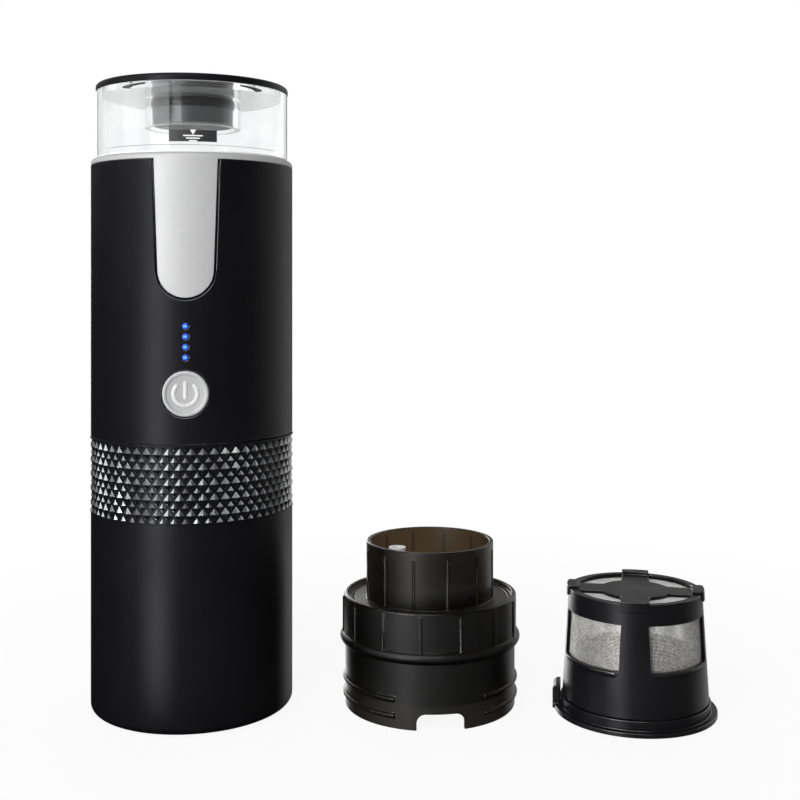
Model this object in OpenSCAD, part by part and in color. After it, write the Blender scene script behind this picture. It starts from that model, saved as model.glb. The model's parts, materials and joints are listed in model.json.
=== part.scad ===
// Portable coffee machine: a cup with a diamond grip band, a battery powered
// brew head with a clear water tank, a capsule holder and a filter basket.
// Millimetres. The origin is the centre of the cup's foot pad, +Z is up, the
// button faces -Y, and the holder and the basket stand towards +X.

/* [Cup] */
// Outer diameter of the cup and of the upper housing
body_d = 70; // [66:0.5:78]
// Height of the smooth part of the cup
cup_h = 69; // [60:1:90]
// Wall of the cup's neck, behind the grip band
neck_wall = 1.1; // [0.9:0.1:1.2]
// Thickness of the cup's floor
cup_floor = 2; // [1.5:0.5:5]
// Radius of the cup's bottom edge
base_round = 2.5; // [1:0.5:4]
// Radius between the cup's wall and its floor
inner_round = 4; // [2:0.5:8]
// Diameter of the foot pad
pad_d = 56; // [40:1:60]
// Thickness of the foot pad
pad_t = 1.6; // [1:0.1:2]
// How far the foot pad stands out under the cup
pad_drop = 0.4; // [0.2:0.1:0.8]

/* [Grip band] */
// Height of the grip band
band_h = 26; // [20:1:32]
// Diamonds around the band
band_cols = 58; // [40:1:72]
// Diamonds over the band's height
band_rows = 5; // [3:1:7]
// Height of one diamond above its grooves
diamond_h = 0.9; // [0.4:0.1:1]
// How far the diamonds stand out of the body
diamond_out = 0.15; // [0.1:0.05:0.4]
// Height of the plain lip along each edge of the band
lip_h = 0.6; // [0.3:0.1:1.2]
// Wall of the band, from the body's surface to the cup's neck
band_t = 1.3; // [1.2:0.1:2]

/* [Housing] */
// Height of the upper housing
housing_h = 93.2; // [91:0.2:110]
// Wall of the upper housing
housing_wall = 2.3; // [2.1:0.1:2.6]
// Height of the bright collar above the housing
collar_h = 2.2; // [2:0.1:4]
// Wall of the collar's sleeve inside the housing
sleeve_wall = 0.8; // [0.6:0.1:1]
// Length of the collar's sleeve inside the housing
sleeve_h = 5.5; // [3:0.5:10]
// Length of the tongue below the housing's top edge
tongue_len = 45.5; // [38:0.5:48]
// Width of the tongue at the collar
tongue_top_w = 20.7; // [16:0.1:24]
// Width of the tongue at its round end
tongue_end_w = 18.2; // [12:0.1:22]
// Thickness of the tongue
tongue_t = 1; // [0.6:0.1:1.2]
// Open groove around the tongue
tongue_gap = 0.7; // [0.3:0.1:1]

/* [Button and lights] */
// Height of the button's centre above the housing's lower edge
button_up = 16.5; // [16.3:0.1:20]
// Diameter of the button
button_d = 15; // [12:0.5:15]
// Width of the button's raised rim
button_rim_w = 1.6; // [1:0.1:2.4]
// Depth of the dish inside the button's rim
button_dish = 0.5; // [0.3:0.1:0.8]
// Travel of the button
button_travel = 0.8; // [0.4:0.1:1]
// Height of the lowest light above the button's centre
light_up = 11.8; // [11.4:0.1:13]
// Distance between two lights
light_pitch = 3.4; // [2.6:0.1:3.6]
// Number of lights
light_n = 4; // [3:1:4]
// Diameter of a light
light_d = 1.8; // [1.2:0.1:2]

/* [Water tank] */
// Height of the tank above its seal ring
tank_h = 22.7; // [20:0.1:34]
// Step from the body's surface in to the tank
tank_inset = 1.75; // [1.6:0.05:2.2]
// Wall of the tank
tank_wall = 2; // [1.4:0.1:2.4]
// Thickness of the seal ring under the tank's step
seal_t = 0.5; // [0.4:0.1:1]
// Inner diameter of the neck
neck_d = 29.6; // [26:0.2:34]
// Length of the neck
neck_len = 12; // [8:0.5:15]
// Wall of the neck and of the deck
deck_t = 1.8; // [1.4:0.1:2.4]

/* [Lid] */
// Height of the lid cap
lid_h = 3; // [2.6:0.1:6]
// Height of the lid cap's upright edge
lid_edge_h = 1.3; // [1:0.1:1.6]
// Length of the plug below the lid cap
plug_len = 11.2; // [10:0.1:15]
// Height of the ring seal on the plug
ring_seal_h = 3.4; // [2:0.1:4]
// Gap between the ring seal and the neck
ring_seal_gap = 0.3; // [0.2:0.05:0.4]

/* [Brew head] */
// Height of the brew ceiling above the housing's lower edge
brew_rise = 5.2; // [4:0.1:5.4]
// Thickness of the brew ceiling
ceiling_t = 3; // [2.6:0.1:3.2]
// Wall of the spigot
spigot_wall = 1.1; // [0.9:0.1:1.2]
// Thickness of the brew gasket
gasket_t = 1; // [0.6:0.1:1.6]
// Length of the needle below the brew ceiling
needle_len = 8.5; // [6:0.5:12]
// Diameter of the needle
needle_d = 3.2; // [2.6:0.1:3.4]

/* [Power] */
// Diameter of a cell
cell_d = 18; // [14:0.1:18.4]
// Length of a cell
cell_len = 50; // [50:0.5:54]
// Diameter of the pump motor
motor_d = 24; // [20:0.5:24.4]
// Height of the pump motor
motor_h = 24; // [20:0.5:25]
// Height of the pump body
pump_h = 15; // [13:0.5:16]
// Outer diameter of the water tubes
tube_d = 5.2; // [4.6:0.1:5.4]
// Inner diameter of the water tubes
tube_bore = 3.2; // [2.8:0.1:3.4]
// Height of the charging socket above the frame plate
port_up = 12.5; // [10:0.5:16]

/* [Capsule holder] */
// Gap between the cup and the holder beside it
holder_gap = 16.75; // [5:0.05:30]
// Place of the holder beside the cup, along Y
holder_y = -7.8; // [-20:0.1:10]
// Height of the thread ridges
thread_h = 0.85; // [0.6:0.05:0.9]
// Length of the threaded end
holder_low_h = 22; // [20:0.5:24]
// Height of the bead above the threaded end
bead_h = 4; // [3:0.5:5]
// How far the bead stands out of the threaded end
bead_out = 1.75; // [1.3:0.05:2]
// Height of the ribbed grip
grip_h = 13; // [10:0.5:15]
// Number of grip ribs
grip_ribs = 14; // [8:1:20]
// Wall of the holder
holder_wall = 1.6; // [1.4:0.1:1.8]
// Overall height of the holder
holder_h = 57; // [54:0.5:62]
// Wall of the holder's chamber
chamber_t = 1.5; // [1.2:0.1:1.8]
// Step in from the chamber's bore to the drip skirt
skirt_inset = 1.9; // [1.6:0.1:4]
// Depth of the shoulder below the grip's upper edge
shoulder_down = 1.5; // [0.5:0.1:3]
// Width of the finger notch
notch_w = 16; // [12:0.5:20]
// Height of the notch
notch_h = 5.5; // [5.4:0.1:7]

/* [Filter basket] */
// Gap between the holder and the lid's ear
filter_gap = 9.95; // [6:0.05:20]
// Place of the basket beside the cup, along Y
filter_y = -23.4; // [-30:0.1:10]
// Turn of the basket on the table
filter_turn = 73; // [45:1:135]
// Height of the basket on its lid
filter_h = 42; // [38:0.5:42]
// Width of the lid's flange around the basket
flange_w = 2.8; // [2:0.1:2.8]
// Thickness of the lid's flange
flange_t = 1.5; // [1:0.1:2]
// How far the basket's radius lies inside the chamber's bore
basket_gap = 0.4; // [0.3:0.05:1]
// How far the basket's wall leans in towards its closed end
basket_taper = 2.3; // [1.5:0.1:3]
// Wall of the basket
basket_wall = 1.3; // [1:0.1:1.6]
// Width of the posts between the windows
post_w = 10; // [6:0.5:12]
// Height of the windows
window_h = 15; // [10:0.5:18]
// Height of the windows above the table
window_up = 17; // [14:0.5:18]
// Width of the arms of the end cross
arm_w = 9.5; // [6:0.5:10]
// Diameter of the end cross's hub
hub_d = 24; // [18:0.5:27]
// Width of the locating ear
ear_w = 9; // [6:0.5:11]

/* [Hidden] */
$fn = 96;
eps = 0.01;

// Clearances
slide_gap = 0.3;
fit_gap = 0.1;
pin_gap = 0.02;
run_gap = 0.06;
thread_gap = 0.35;
seam = 0.3;
seat_gap = 0.1;

// Radii from the body's surface inwards
body_r = body_d / 2;
band_in_r = body_r - band_t;
neck_r = band_in_r - fit_gap;
cup_in_r = neck_r - neck_wall;
spigot_r = cup_in_r - slide_gap;
socket_r = spigot_r - spigot_wall;
thread_r = socket_r - thread_gap;
holder_r = thread_r - thread_h;
band_peak_r = body_r + diamond_out;
band_valley_r = band_peak_r - diamond_h;
housing_in_r = body_r - housing_wall;
sleeve_r = housing_in_r - fit_gap;
collar_in_r = sleeve_r - sleeve_wall;
tank_r = body_r - tank_inset;
tank_low_r = collar_in_r - slide_gap;
tank_in_r = tank_r - tank_wall;
tank_low_in_r = tank_low_r - tank_wall;
pad_r = pad_d / 2;

// Levels from the table upwards
floor_z = pad_t + cup_floor;
band_z0 = cup_h;
band_z1 = band_z0 + band_h;
head_z0 = band_z1 + seam;
head_z1 = head_z0 + housing_h;
collar_z1 = head_z1 + collar_h;
seal_z1 = collar_z1 + seal_t;
tank_z1 = seal_z1 + tank_h;
lid_z0 = tank_z1 + seam;
lid_z1 = lid_z0 + lid_h;
rebate_h = 0.8;
rebate_z1 = head_z0 + rebate_h;
brew_z0 = head_z0 + brew_rise;
brew_z1 = brew_z0 + ceiling_t;
bead_gap = 0.5;
spigot_z0 = brew_z0 - gasket_t - holder_low_h + bead_gap;
plate_t = 2;
plate_z1 = brew_z1 + plate_t;
cell_z1 = plate_z1 + cell_len;
cell_room = 4.5;
top_z0 = cell_z1 + cell_room;
top_z1 = top_z0 + plate_t;
screw_head_h = 1.6;
tank_room = 0.9;
tank_z0 = top_z1 + screw_head_h + tank_room;
tank_floor_z = tank_z0 + tank_wall;

// Lid plug and gasket
lid_r = tank_r + 0.15;
lid_gasket_t = 0.8;
lid_lip_w = 0.7;
plug_r = neck_d / 2 - 0.8;
plug_wall = 1.6;
plug_z1 = lid_z0 + lid_gasket_t;
plug_z0 = lid_z0 - plug_len;
ring_seal_z0 = plug_z0 + 5.4;
ring_groove = 1;

// Tongue
tongue_z0 = head_z1 - tongue_len;
tongue_end_r = tongue_end_w / 2;
tongue_floor_r = body_r - tongue_t - fit_gap;
collar_edge_h = 0.5;

// Button, board and lights
button_r = button_d / 2;
button_z = head_z0 + button_up;
button_out = 0.3;
button_tab_w = 1;
button_tab_h = 5;
button_tab_t = 1;
button_back = body_r - 5;
switch_size = 6;
switch_t = 3;
board_t = 1.4;
board_w = 24;
board_y = -(button_back - button_travel - 0.2 - switch_t);
board_z1 = button_z + light_up + (light_n - 1) * light_pitch + 6;
light_z = [for (i = [0 : light_n - 1]) button_z + light_up + i * light_pitch];
light_r = light_d / 2;
pipe_w = 4;
pipe_t = 1.5;
pipe_y = -(housing_in_r - 0.8);
chip_w = 1.6;
chip_t = 0.6;
rail_h = 3;
rail_t = 1.2;

// Pump, cells, frame and screws
plate_r = housing_in_r - 0.5;
plate_front = rail_t + fit_gap + rail_t - board_y;
cell_r = cell_d / 2;
cell_in = 15.7;
cell_y = cell_r + 1;
cell_at = [for (s = [-1, 1]) [housing_in_r - cell_in, s * cell_y]];
cup_wall_t = 1.2;
cradle_h = 8;
nub_r = 3;
nub_h = 1;
motor_r = motor_d / 2;
tube_room = 4;
pump_x = -(motor_r + tube_room);
pump_r = motor_r + 0.5;
motor_z1 = plate_z1 + motor_h;
pump_z1 = motor_z1 + pump_h;
chamber_r = pump_r - 3.5;
chamber_wall = 2;
shaft_r = 1;
shaft_len = 20;
cam_r = 5;
cam_off = 1.5;
cam_h = 4;
port_off = 6;
barb_h = 4.5;
tube_r = tube_d / 2;
tube_in_r = tube_bore / 2;
barb_r = tube_in_r - run_gap;
barb_bore_r = 0.8;
bend_r = (-pump_x - port_off) / 2;
bend_z = pump_z1 + barb_h + 1;
screw_r = 1.1;
screw_head_r = 2.2;
low_screw_z0 = brew_z0 + 0.8;
top_screw_len = 6;

// Needle
needle_r = needle_d / 2;
needle_flange_r = 3.2;
needle_flange_t = 1;
needle_point_h = 4;
needle_barb_h = 6;
needle_z0 = brew_z0 - needle_len;
plate_hole_r = 4;

// Strainer
strainer_x = pump_x - port_off;
strainer_r = 4;
strainer_h = 2.6;
strainer_wall = 0.6;
nipple_h = 7;

// Charging port and its cover
port_z = plate_z1 + port_up;
port_w = 8.9;
port_h = 3.2;
port_depth = 7.3;
port_wall = 0.4;
port_tongue_t = 0.7;
port_face_y = housing_in_r + 0.6;
charge_t = 1.2;
charge_w = 14;
charge_h = port_up + 6;
charge_y = port_face_y - port_depth;
cover_w = 15;
cover_h = 8;
cover_t = 1.2;
cover_gap = 0.45;
cover_round = 2;

// Posts and screws of the frame
post_r = 2.6;
post_x = 12;
post_in = 1.2;
post_at = [
    [-post_x, charge_y - charge_t - post_r - 0.2], [-post_x, board_y + board_t + post_r + 2],
    [plate_r - post_r - post_in, 0]
];
screw_x = 3;
screw_in = 2.8;
screw_angle = 144.7;
low_screw_at = [
    [screw_x, cell_y + cell_r], [screw_x, -cell_y - cell_r],
    [(plate_r - screw_in) * cos(screw_angle), (plate_r - screw_in) * sin(screw_angle)]
];

// Holder
bead_r = holder_r + bead_out;
holder_x = body_r + holder_gap + bead_r;
holder_at = [holder_x, holder_y, 0];
holder_in_r = holder_r - holder_wall;
bead_z1 = holder_low_h + bead_h;
grip_r = holder_r + 0.5;
grip_in_r = grip_r - holder_wall;
grip_z1 = bead_z1 + grip_h;
rib_w = 1.1;
rib_out = 0.45;
rib_inset = 1.2;
ridge_h = 2.4;
ridge_z = [4.4, 9.8];
ridge_arc = 120;
seat_z = 7.5;
seat_t = 2;
ledge_w = 1.1;
ledge_t = 1.5;
chamber_low_r = holder_in_r - ledge_w - slide_gap - chamber_t;
basket_r = chamber_low_r - basket_gap;
basket_end_r = basket_r - basket_taper;
chamber_end_gap = 1.6;
chamber_end_r = basket_end_r + chamber_end_gap;
shoulder_z = grip_z1 - shoulder_down;
shelf_z = shoulder_z - chamber_t;
shelf_r = holder_in_r - ledge_w;
roof_up = 6.1;
roof_z0 = shoulder_z + roof_up;
roof_z1 = roof_z0 + chamber_t;
skirt_r = chamber_end_r - skirt_inset;
skirt_lines = 12;
skirt_line_w = 0.8;
skirt_line_out = 0.2;
notch_round = 3;
spout_at = [-11.3, 3];
spout_r = 1.9;
spout_bore_r = 1.3;
spout_point_h = 5;
spout_below = 9;
spout_above = 5;
bush_r = 3;
bush_h = 8.8;

// Basket and its lid
ear_r = holder_in_r - fit_gap;
filter_x = holder_x + bead_r + filter_gap + ear_r;
filter_at = [filter_x, filter_y, 0];
flange_r = basket_r + flange_w;
basket_z0 = 5;
lid_ring_r = basket_r + 0.6;
lid_ring_w = 1.7;
lid_hole_r = 4;
window_round = 1.5;
sill_h = 1;
sill_out = 0.35;
mesh_t = 0.35;
mesh_gap = 0.05;
mesh_over = 3.5;
end_mesh_z = filter_h - 1.8;
end_ring_w = 2.5;
cross_down = 0.3;
flare_r = 2;
clip_t = 0.6;
clip_over = 0.9;
clip_drop = 2.5;
hinge_x = basket_r + 1.2;
hinge_z = basket_z0 - 0.15;
knuckle_r = 1.1;
hinge_pin_r = 0.6;
knuckle_half = 2.9;
knuckle_end = 4.6;
ear_in = 0.9;
ear_h = 8;
ear_round = 1;

// Points of an arc, from angle a0 to angle a1, for a turned outline
function arc(c, r, a0, a1, n = 8) =
    [for (i = [0 : n]) let (a = a0 + (a1 - a0) * i / n) [c[0] + r * cos(a), c[1] + r * sin(a)]];

// Turned ring of rectangular section
module ring(r_in, r_out, z0, z1) {
    translate([0, 0, z0])
        difference() {
            cylinder(h = z1 - z0, r = r_out);
            translate([0, 0, -1])
                cylinder(h = z1 - z0 + 2, r = r_in);
        }
}

// Rectangle with round corners, centred
module round_rect(w, h, r) {
    square([w - 2 * r, h], center = true);
    square([w, h - 2 * r], center = true);
    for (x = [-1, 1], y = [-1, 1])
        translate([x * (w / 2 - r), y * (h / 2 - r)])
            circle(r);
}

// Stands a flat outline up in the XZ plane and runs it along Y from y0 to y1
module along_y(y0, y1) {
    translate([0, y1, 0])
        rotate([90, 0, 0])
            linear_extrude(y1 - y0)
                children();
}

module cup_shell() {
    color("#1c1c1e")
        rotate_extrude()
            polygon(concat(
                [[0, pad_t], [pad_r + fit_gap, pad_t], [pad_r + fit_gap, pad_drop]],
                arc([body_r - base_round, pad_drop + base_round], base_round, -90, 0),
                [[body_r, band_z0], [neck_r, band_z0], [neck_r, band_z1], [cup_in_r, band_z1]],
                arc([cup_in_r - inner_round, floor_z + inner_round], inner_round, 0, -90),
                [[0, floor_z]]
            ));
}

// One ring of band points: r(j) is given by the parity of column and row
function band_ring(z, k, n) =
    [for (j = [0 : n - 1]) let (a = 360 * j / n, r = (j + k) % 2 == 0 ? band_peak_r : band_valley_r)
        [r * cos(a), r * sin(a), z]];
function plain_ring(r, z, n) = [for (j = [0 : n - 1]) let (a = 360 * j / n) [r * cos(a), r * sin(a), z]];

// Diamonds are four-sided pyramids: peaks and grooves alternate on a lattice
// of half steps, and each lattice cell is folded along its groove
module grip_band() {
    n = 2 * band_cols;
    steps = 2 * band_rows;
    lip_r = band_peak_r + 0.05;
    in_r = band_in_r / cos(180 / n);
    z0 = band_z0 + lip_h;
    step = (band_h - 2 * lip_h) / steps;
    points = concat(
        plain_ring(in_r, band_z0, n),
        plain_ring(lip_r, band_z0, n),
        plain_ring(lip_r, z0, n),
        [for (k = [0 : steps], p = band_ring(z0 + k * step, k, n)) p],
        plain_ring(lip_r, band_z1 - lip_h, n),
        plain_ring(lip_r, band_z1, n),
        plain_ring(in_r, band_z1, n)
    );
    first = 3;
    last = first + steps;
    rings = last + 4;
    function at(k, j) = (k % rings) * n + j % n;
    folds = [for (k = [first : last - 1], j = [0 : n - 1])
        let (a = at(k, j), b = at(k, j + 1), c = at(k + 1, j + 1), d = at(k + 1, j))
        each (j + k - first) % 2 == 0 ? [[a, d, b], [b, d, c]] : [[a, c, b], [a, d, c]]];
    walls = [for (k = concat([for (i = [0 : first - 1]) i], [for (i = [last : rings - 1]) i]), j = [0 : n - 1])
        let (a = at(k, j), b = at(k, j + 1), c = at(k + 1, j + 1), d = at(k + 1, j))
        each [[a, d, b], [b, d, c]]];
    color("#111113")
        polyhedron(points, concat(folds, walls));
}

module cup_foot_pad() {
    color("#2a2a2c")
        cylinder(h = pad_t, r = pad_r);
}

// Outline of the tongue, grown by g on every side
module tongue_outline(g) {
    end_z = tongue_z0 + tongue_end_r;
    polygon([
        [-tongue_end_r - g, end_z], [tongue_end_r + g, end_z],
        [tongue_top_w / 2 + g, head_z1 + eps], [-tongue_top_w / 2 - g, head_z1 + eps]
    ]);
    translate([0, end_z])
        circle(tongue_end_r + g);
}

// Outline of the port cover in the back wall, grown by g on every side
module cover_outline(g) {
    translate([0, port_z])
        round_rect(cover_w + 2 * g, cover_h + 2 * g, cover_round + g);
}

module upper_housing() {
    color("#1b1b1d")
        difference() {
            ring(housing_in_r, body_r, head_z0, head_z1);
            translate([0, 0, head_z0 - 1])
                cylinder(h = rebate_h + 1, r = neck_r + fit_gap);
            intersection() {
                ring(tongue_floor_r, body_r + 1, tongue_z0 - tongue_gap - 1, head_z1 + 1);
                along_y(-body_r - 1, 0)
                    tongue_outline(tongue_gap);
            }
            along_y(-body_r - 1, 0)
                translate([0, button_z])
                    circle(button_r + slide_gap);
            along_y(-body_r - 1, 0)
                for (z = light_z)
                    translate([0, z])
                        circle(light_r + fit_gap);
            intersection() {
                ring(body_r - cover_t - fit_gap, body_r + 1, port_z - cover_h, port_z + cover_h);
                along_y(0, body_r + 1)
                    cover_outline(cover_gap);
            }
            along_y(0, body_r + 1)
                translate([0, port_z])
                    round_rect(port_w + 0.6, port_h + 0.6, port_h / 2 + 0.29);
        }
}

module trim_collar() {
    shoulder_r = collar_h - collar_edge_h;
    color("#c9cacc") {
        rotate_extrude()
            polygon(concat(
                [[collar_in_r, head_z1 - sleeve_h], [sleeve_r, head_z1 - sleeve_h], [sleeve_r, head_z1],
                 [body_r, head_z1]],
                arc([body_r - shoulder_r, head_z1 + collar_edge_h], shoulder_r, 0, 90),
                [[collar_in_r, collar_z1]]
            ));
        intersection() {
            ring(body_r - tongue_t, body_r, tongue_z0 - 1, head_z1 + collar_edge_h / 2);
            along_y(-body_r - 1, 0) {
                tongue_outline(0);
                translate([-tongue_top_w / 2, head_z1])
                    square([tongue_top_w, collar_edge_h]);
            }
        }
    }
}

module water_tank() {
    step_z = seal_z1 + tank_wall;
    color("#dfe9ee", 0.35)
        difference() {
            union() {
                rotate_extrude()
                    polygon([
                        [0, tank_z0], [tank_low_r, tank_z0], [tank_low_r, seal_z1], [tank_r, seal_z1],
                        [tank_r, tank_z1], [tank_in_r, tank_z1], [tank_in_r, step_z], [tank_low_in_r, step_z],
                        [tank_low_in_r, tank_floor_z], [0, tank_floor_z]
                    ]);
                translate([strainer_x, 0, tank_z0 - nipple_h])
                    cylinder(h = nipple_h + eps, r = barb_r);
            }
            translate([strainer_x, 0, tank_z0 - nipple_h - 1])
                cylinder(h = nipple_h + tank_wall + 2, r = barb_bore_r);
        }
}

module tank_neck() {
    neck_r0 = neck_d / 2;
    color("#e6eef2", 0.35) {
        ring(neck_r0, neck_r0 + deck_t, tank_z1 - neck_len, tank_z1);
        ring(neck_r0 + deck_t / 2, tank_in_r - fit_gap, tank_z1 - deck_t, tank_z1);
    }
}

module tank_seal_ring() {
    color("#f2f2f0")
        ring(collar_in_r + fit_gap, tank_r - fit_gap, collar_z1, seal_z1);
}

module tank_strainer() {
    color("#b9bcc0")
        translate([strainer_x, 0, tank_floor_z])
            difference() {
                cylinder(h = strainer_h, r = strainer_r);
                translate([0, 0, -1])
                    cylinder(h = strainer_h - strainer_wall + 1, r = strainer_r - strainer_wall);
            }
}

// Two low rails that hold the foot of an upright board
module board_rails(w, y0, y1) {
    for (y = [y0 - fit_gap - rail_t, y1 + fit_gap])
        translate([-w / 2, y, plate_z1 - eps])
            cube([w, rail_t, rail_h + eps]);
}

module inner_frame() {
    color("#3a3b3e")
        difference() {
            union() {
                intersection() {
                    translate([0, 0, brew_z1])
                        cylinder(h = plate_t, r = plate_r);
                    translate([-body_r, -plate_front, brew_z1 - 1])
                        cube([2 * body_r, 2 * body_r, plate_t + 2]);
                }
                for (c = cell_at)
                    translate([c[0], c[1], 0])
                        ring(cell_r + fit_gap, cell_r + fit_gap + cup_wall_t / 2, plate_z1 - eps, plate_z1 + cradle_h);
                translate([pump_x, 0, 0])
                    ring(motor_r + fit_gap, motor_r + fit_gap + cup_wall_t, plate_z1 - eps, plate_z1 + cradle_h);
                for (p = post_at)
                    translate([p[0], p[1], plate_z1 - eps])
                        cylinder(h = top_z0 - plate_z1 + eps, r = post_r);
                board_rails(board_w - 6, board_y, board_y + board_t);
                board_rails(charge_w, charge_y - charge_t, charge_y);
            }
            translate([0, 0, brew_z1 - 1])
                cylinder(h = plate_t + cradle_h + 2, r = plate_hole_r);
            for (s = low_screw_at)
                translate([s[0], s[1], brew_z1 - 1])
                    cylinder(h = plate_t + 2, r = screw_r + fit_gap);
            for (p = post_at)
                translate([p[0], p[1], top_z0 - top_screw_len])
                    cylinder(h = top_screw_len + 1, r = screw_r + pin_gap);
        }
}

module frame_top() {
    color("#404145")
        difference() {
            union() {
                translate([0, 0, top_z0])
                    cylinder(h = plate_t, r = plate_r);
                for (c = cell_at)
                    translate([c[0], c[1], 0])
                        ring(cell_r + fit_gap, cell_r + fit_gap + cup_wall_t / 2, cell_z1 - cell_room, top_z0 + eps);
            }
            translate([strainer_x, 0, top_z0 - 1])
                cylinder(h = plate_t + 2, r = tube_r + slide_gap);
            for (p = post_at)
                translate([p[0], p[1], top_z0 - 1])
                    cylinder(h = plate_t + 2, r = screw_r + fit_gap);
        }
}

// Pan-head screw with its head's seat at z and its shank going down
module screw(p, z, len) {
    translate([p[0], p[1], z])
        cylinder(h = screw_head_h, r = screw_head_r);
    translate([p[0], p[1], z - len])
        cylinder(h = len + eps, r = screw_r);
}

module frame_screws() {
    color("#8f9196") {
        for (s = low_screw_at)
            screw(s, plate_z1, plate_z1 - low_screw_z0);
        for (p = post_at)
            screw(p, top_z1, plate_t + top_screw_len - 1);
    }
}

module battery_cells() {
    color("#3f7fb0")
        for (c = cell_at)
            translate([c[0], c[1], plate_z1]) {
                cylinder(h = cell_len - nub_h, r = cell_r);
                translate([0, 0, cell_len - nub_h - eps])
                    cylinder(h = nub_h + eps, r = nub_r);
            }
}

module pump_motor() {
    color("#a7aab0")
        translate([pump_x, 0, plate_z1])
            difference() {
                cylinder(h = motor_h, r = motor_r);
                translate([0, 0, motor_h - shaft_len / 2])
                    cylinder(h = shaft_len, r = shaft_r + run_gap);
            }
}

module pump_body() {
    color("#d8d8d6")
        translate([pump_x, 0, motor_z1])
            difference() {
                union() {
                    cylinder(h = pump_h, r = pump_r);
                    for (x = [-port_off, port_off])
                        translate([x, 0, pump_h - eps])
                            cylinder(h = barb_h + eps, r = barb_r);
                }
                translate([0, 0, -1])
                    cylinder(h = chamber_wall + 2, r = shaft_r + run_gap);
                translate([0, 0, chamber_wall])
                    cylinder(h = pump_h - 2 * chamber_wall, r = chamber_r);
                for (x = [-port_off, port_off])
                    translate([x, 0, pump_h - chamber_wall - 1])
                        cylinder(h = barb_h + chamber_wall + 2, r = barb_bore_r);
            }
}

module pump_rotor() {
    color("#c8a24a")
        translate([pump_x, 0, motor_z1]) {
            translate([0, 0, run_gap - shaft_len / 2])
                cylinder(h = shaft_len, r = shaft_r);
            translate([cam_off, 0, chamber_wall + 1.5])
                cylinder(h = cam_h, r = cam_r);
        }
}

module inlet_tube() {
    z0 = pump_z1 + seat_gap;
    color("#e9e9e4", 0.7)
        translate([strainer_x, 0, 0])
            ring(tube_in_r, tube_r, z0, tank_z0 - seat_gap);
}

module outlet_tube() {
    z0 = brew_z1 + needle_flange_t + seat_gap;
    color("#e9e9e4", 0.7) {
        ring(tube_in_r, tube_r, z0, bend_z);
        translate([-2 * bend_r, 0, 0])
            ring(tube_in_r, tube_r, pump_z1 + seat_gap, bend_z);
        translate([-bend_r, 0, bend_z])
            rotate([90, 0, 0])
                rotate_extrude(angle = 180)
                    translate([bend_r, 0])
                        difference() {
                            circle(tube_r);
                            circle(tube_in_r);
                        }
    }
}

module control_board() {
    color("#2c6b4a")
        translate([-board_w / 2, board_y, plate_z1])
            cube([board_w, board_t, board_z1 - plate_z1]);
}

module push_switch() {
    color("#4b4c50") {
        translate([-switch_size / 2, board_y - switch_t + 1, button_z - switch_size / 2])
            cube([switch_size, switch_t - 1, switch_size]);
        along_y(board_y - switch_t, board_y - switch_t + 1 + eps)
            translate([0, button_z])
                circle(switch_size / 4);
    }
}

module light_chips() {
    color("#f4f4ea")
        for (z = light_z)
            translate([-chip_w / 2, board_y - chip_t, z - chip_w / 2])
                cube([chip_w, chip_t, chip_w]);
}

module light_pipe() {
    bar_z0 = light_z[0] - light_r - 0.6;
    bar_z1 = light_z[light_n - 1] + 3.6;
    leg_h = 1.6;
    color("#7fb4ff", 0.8) {
        translate([-pipe_w / 2, pipe_y, bar_z0])
            cube([pipe_w, pipe_t, bar_z1 - bar_z0]);
        translate([-pipe_w / 2, pipe_y, bar_z1 - leg_h])
            cube([pipe_w, board_y - pipe_y, leg_h]);
        along_y(-body_r + 0.05, pipe_y + eps)
            for (z = light_z)
                translate([0, z])
                    circle(light_r);
        along_y(pipe_y + pipe_t - eps, board_y - chip_t - seat_gap)
            for (z = light_z)
                translate([0, z])
                    circle(light_r);
    }
}

module power_button() {
    face_y = -body_r - button_out;
    color("#c4c6c9") {
        difference() {
            along_y(face_y, -button_back)
                translate([0, button_z])
                    circle(button_r);
            along_y(face_y - 1, face_y + button_dish)
                translate([0, button_z])
                    circle(button_r - button_rim_w);
        }
        along_y(-button_back - button_tab_t, -button_back)
            translate([0, button_z])
                square([2 * (button_r + button_tab_w), button_tab_h], center = true);
    }
}

module charge_board() {
    color("#2c6b4a")
        translate([-charge_w / 2, charge_y - charge_t, plate_z1])
            cube([charge_w, charge_t, charge_h]);
}

module charge_socket() {
    color("#b4b7bb") {
        difference() {
            along_y(charge_y, port_face_y)
                translate([0, port_z])
                    round_rect(port_w, port_h, port_h / 2 - eps);
            along_y(charge_y + 1, port_face_y + 1)
                translate([0, port_z])
                    round_rect(port_w - 2 * port_wall, port_h - 2 * port_wall, port_h / 2 - port_wall - eps);
        }
        translate([-port_w / 2 + 1.2, charge_y + 1 - eps, port_z - port_tongue_t / 2])
            cube([port_w - 2.4, port_depth - 2, port_tongue_t]);
    }
}

module port_cover() {
    color("#232325")
        intersection() {
            ring(body_r - cover_t, body_r, port_z - cover_h, port_z + cover_h);
            along_y(0, body_r + 1)
                cover_outline(0);
        }
}

module brew_head() {
    wall_r = housing_in_r - fit_gap;
    bore_r = needle_r + pin_gap;
    color("#26262a")
        difference() {
            rotate_extrude()
                polygon([
                    [socket_r, spigot_z0], [spigot_r - slide_gap, spigot_z0], [spigot_r, spigot_z0 + 1],
                    [spigot_r, rebate_z1], [wall_r, rebate_z1], [wall_r, brew_z1], [bore_r, brew_z1],
                    [bore_r, brew_z0], [socket_r, brew_z0]
                ]);
            for (s = low_screw_at)
                translate([s[0], s[1], low_screw_z0])
                    cylinder(h = ceiling_t, r = screw_r + pin_gap);
        }
}

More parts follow.
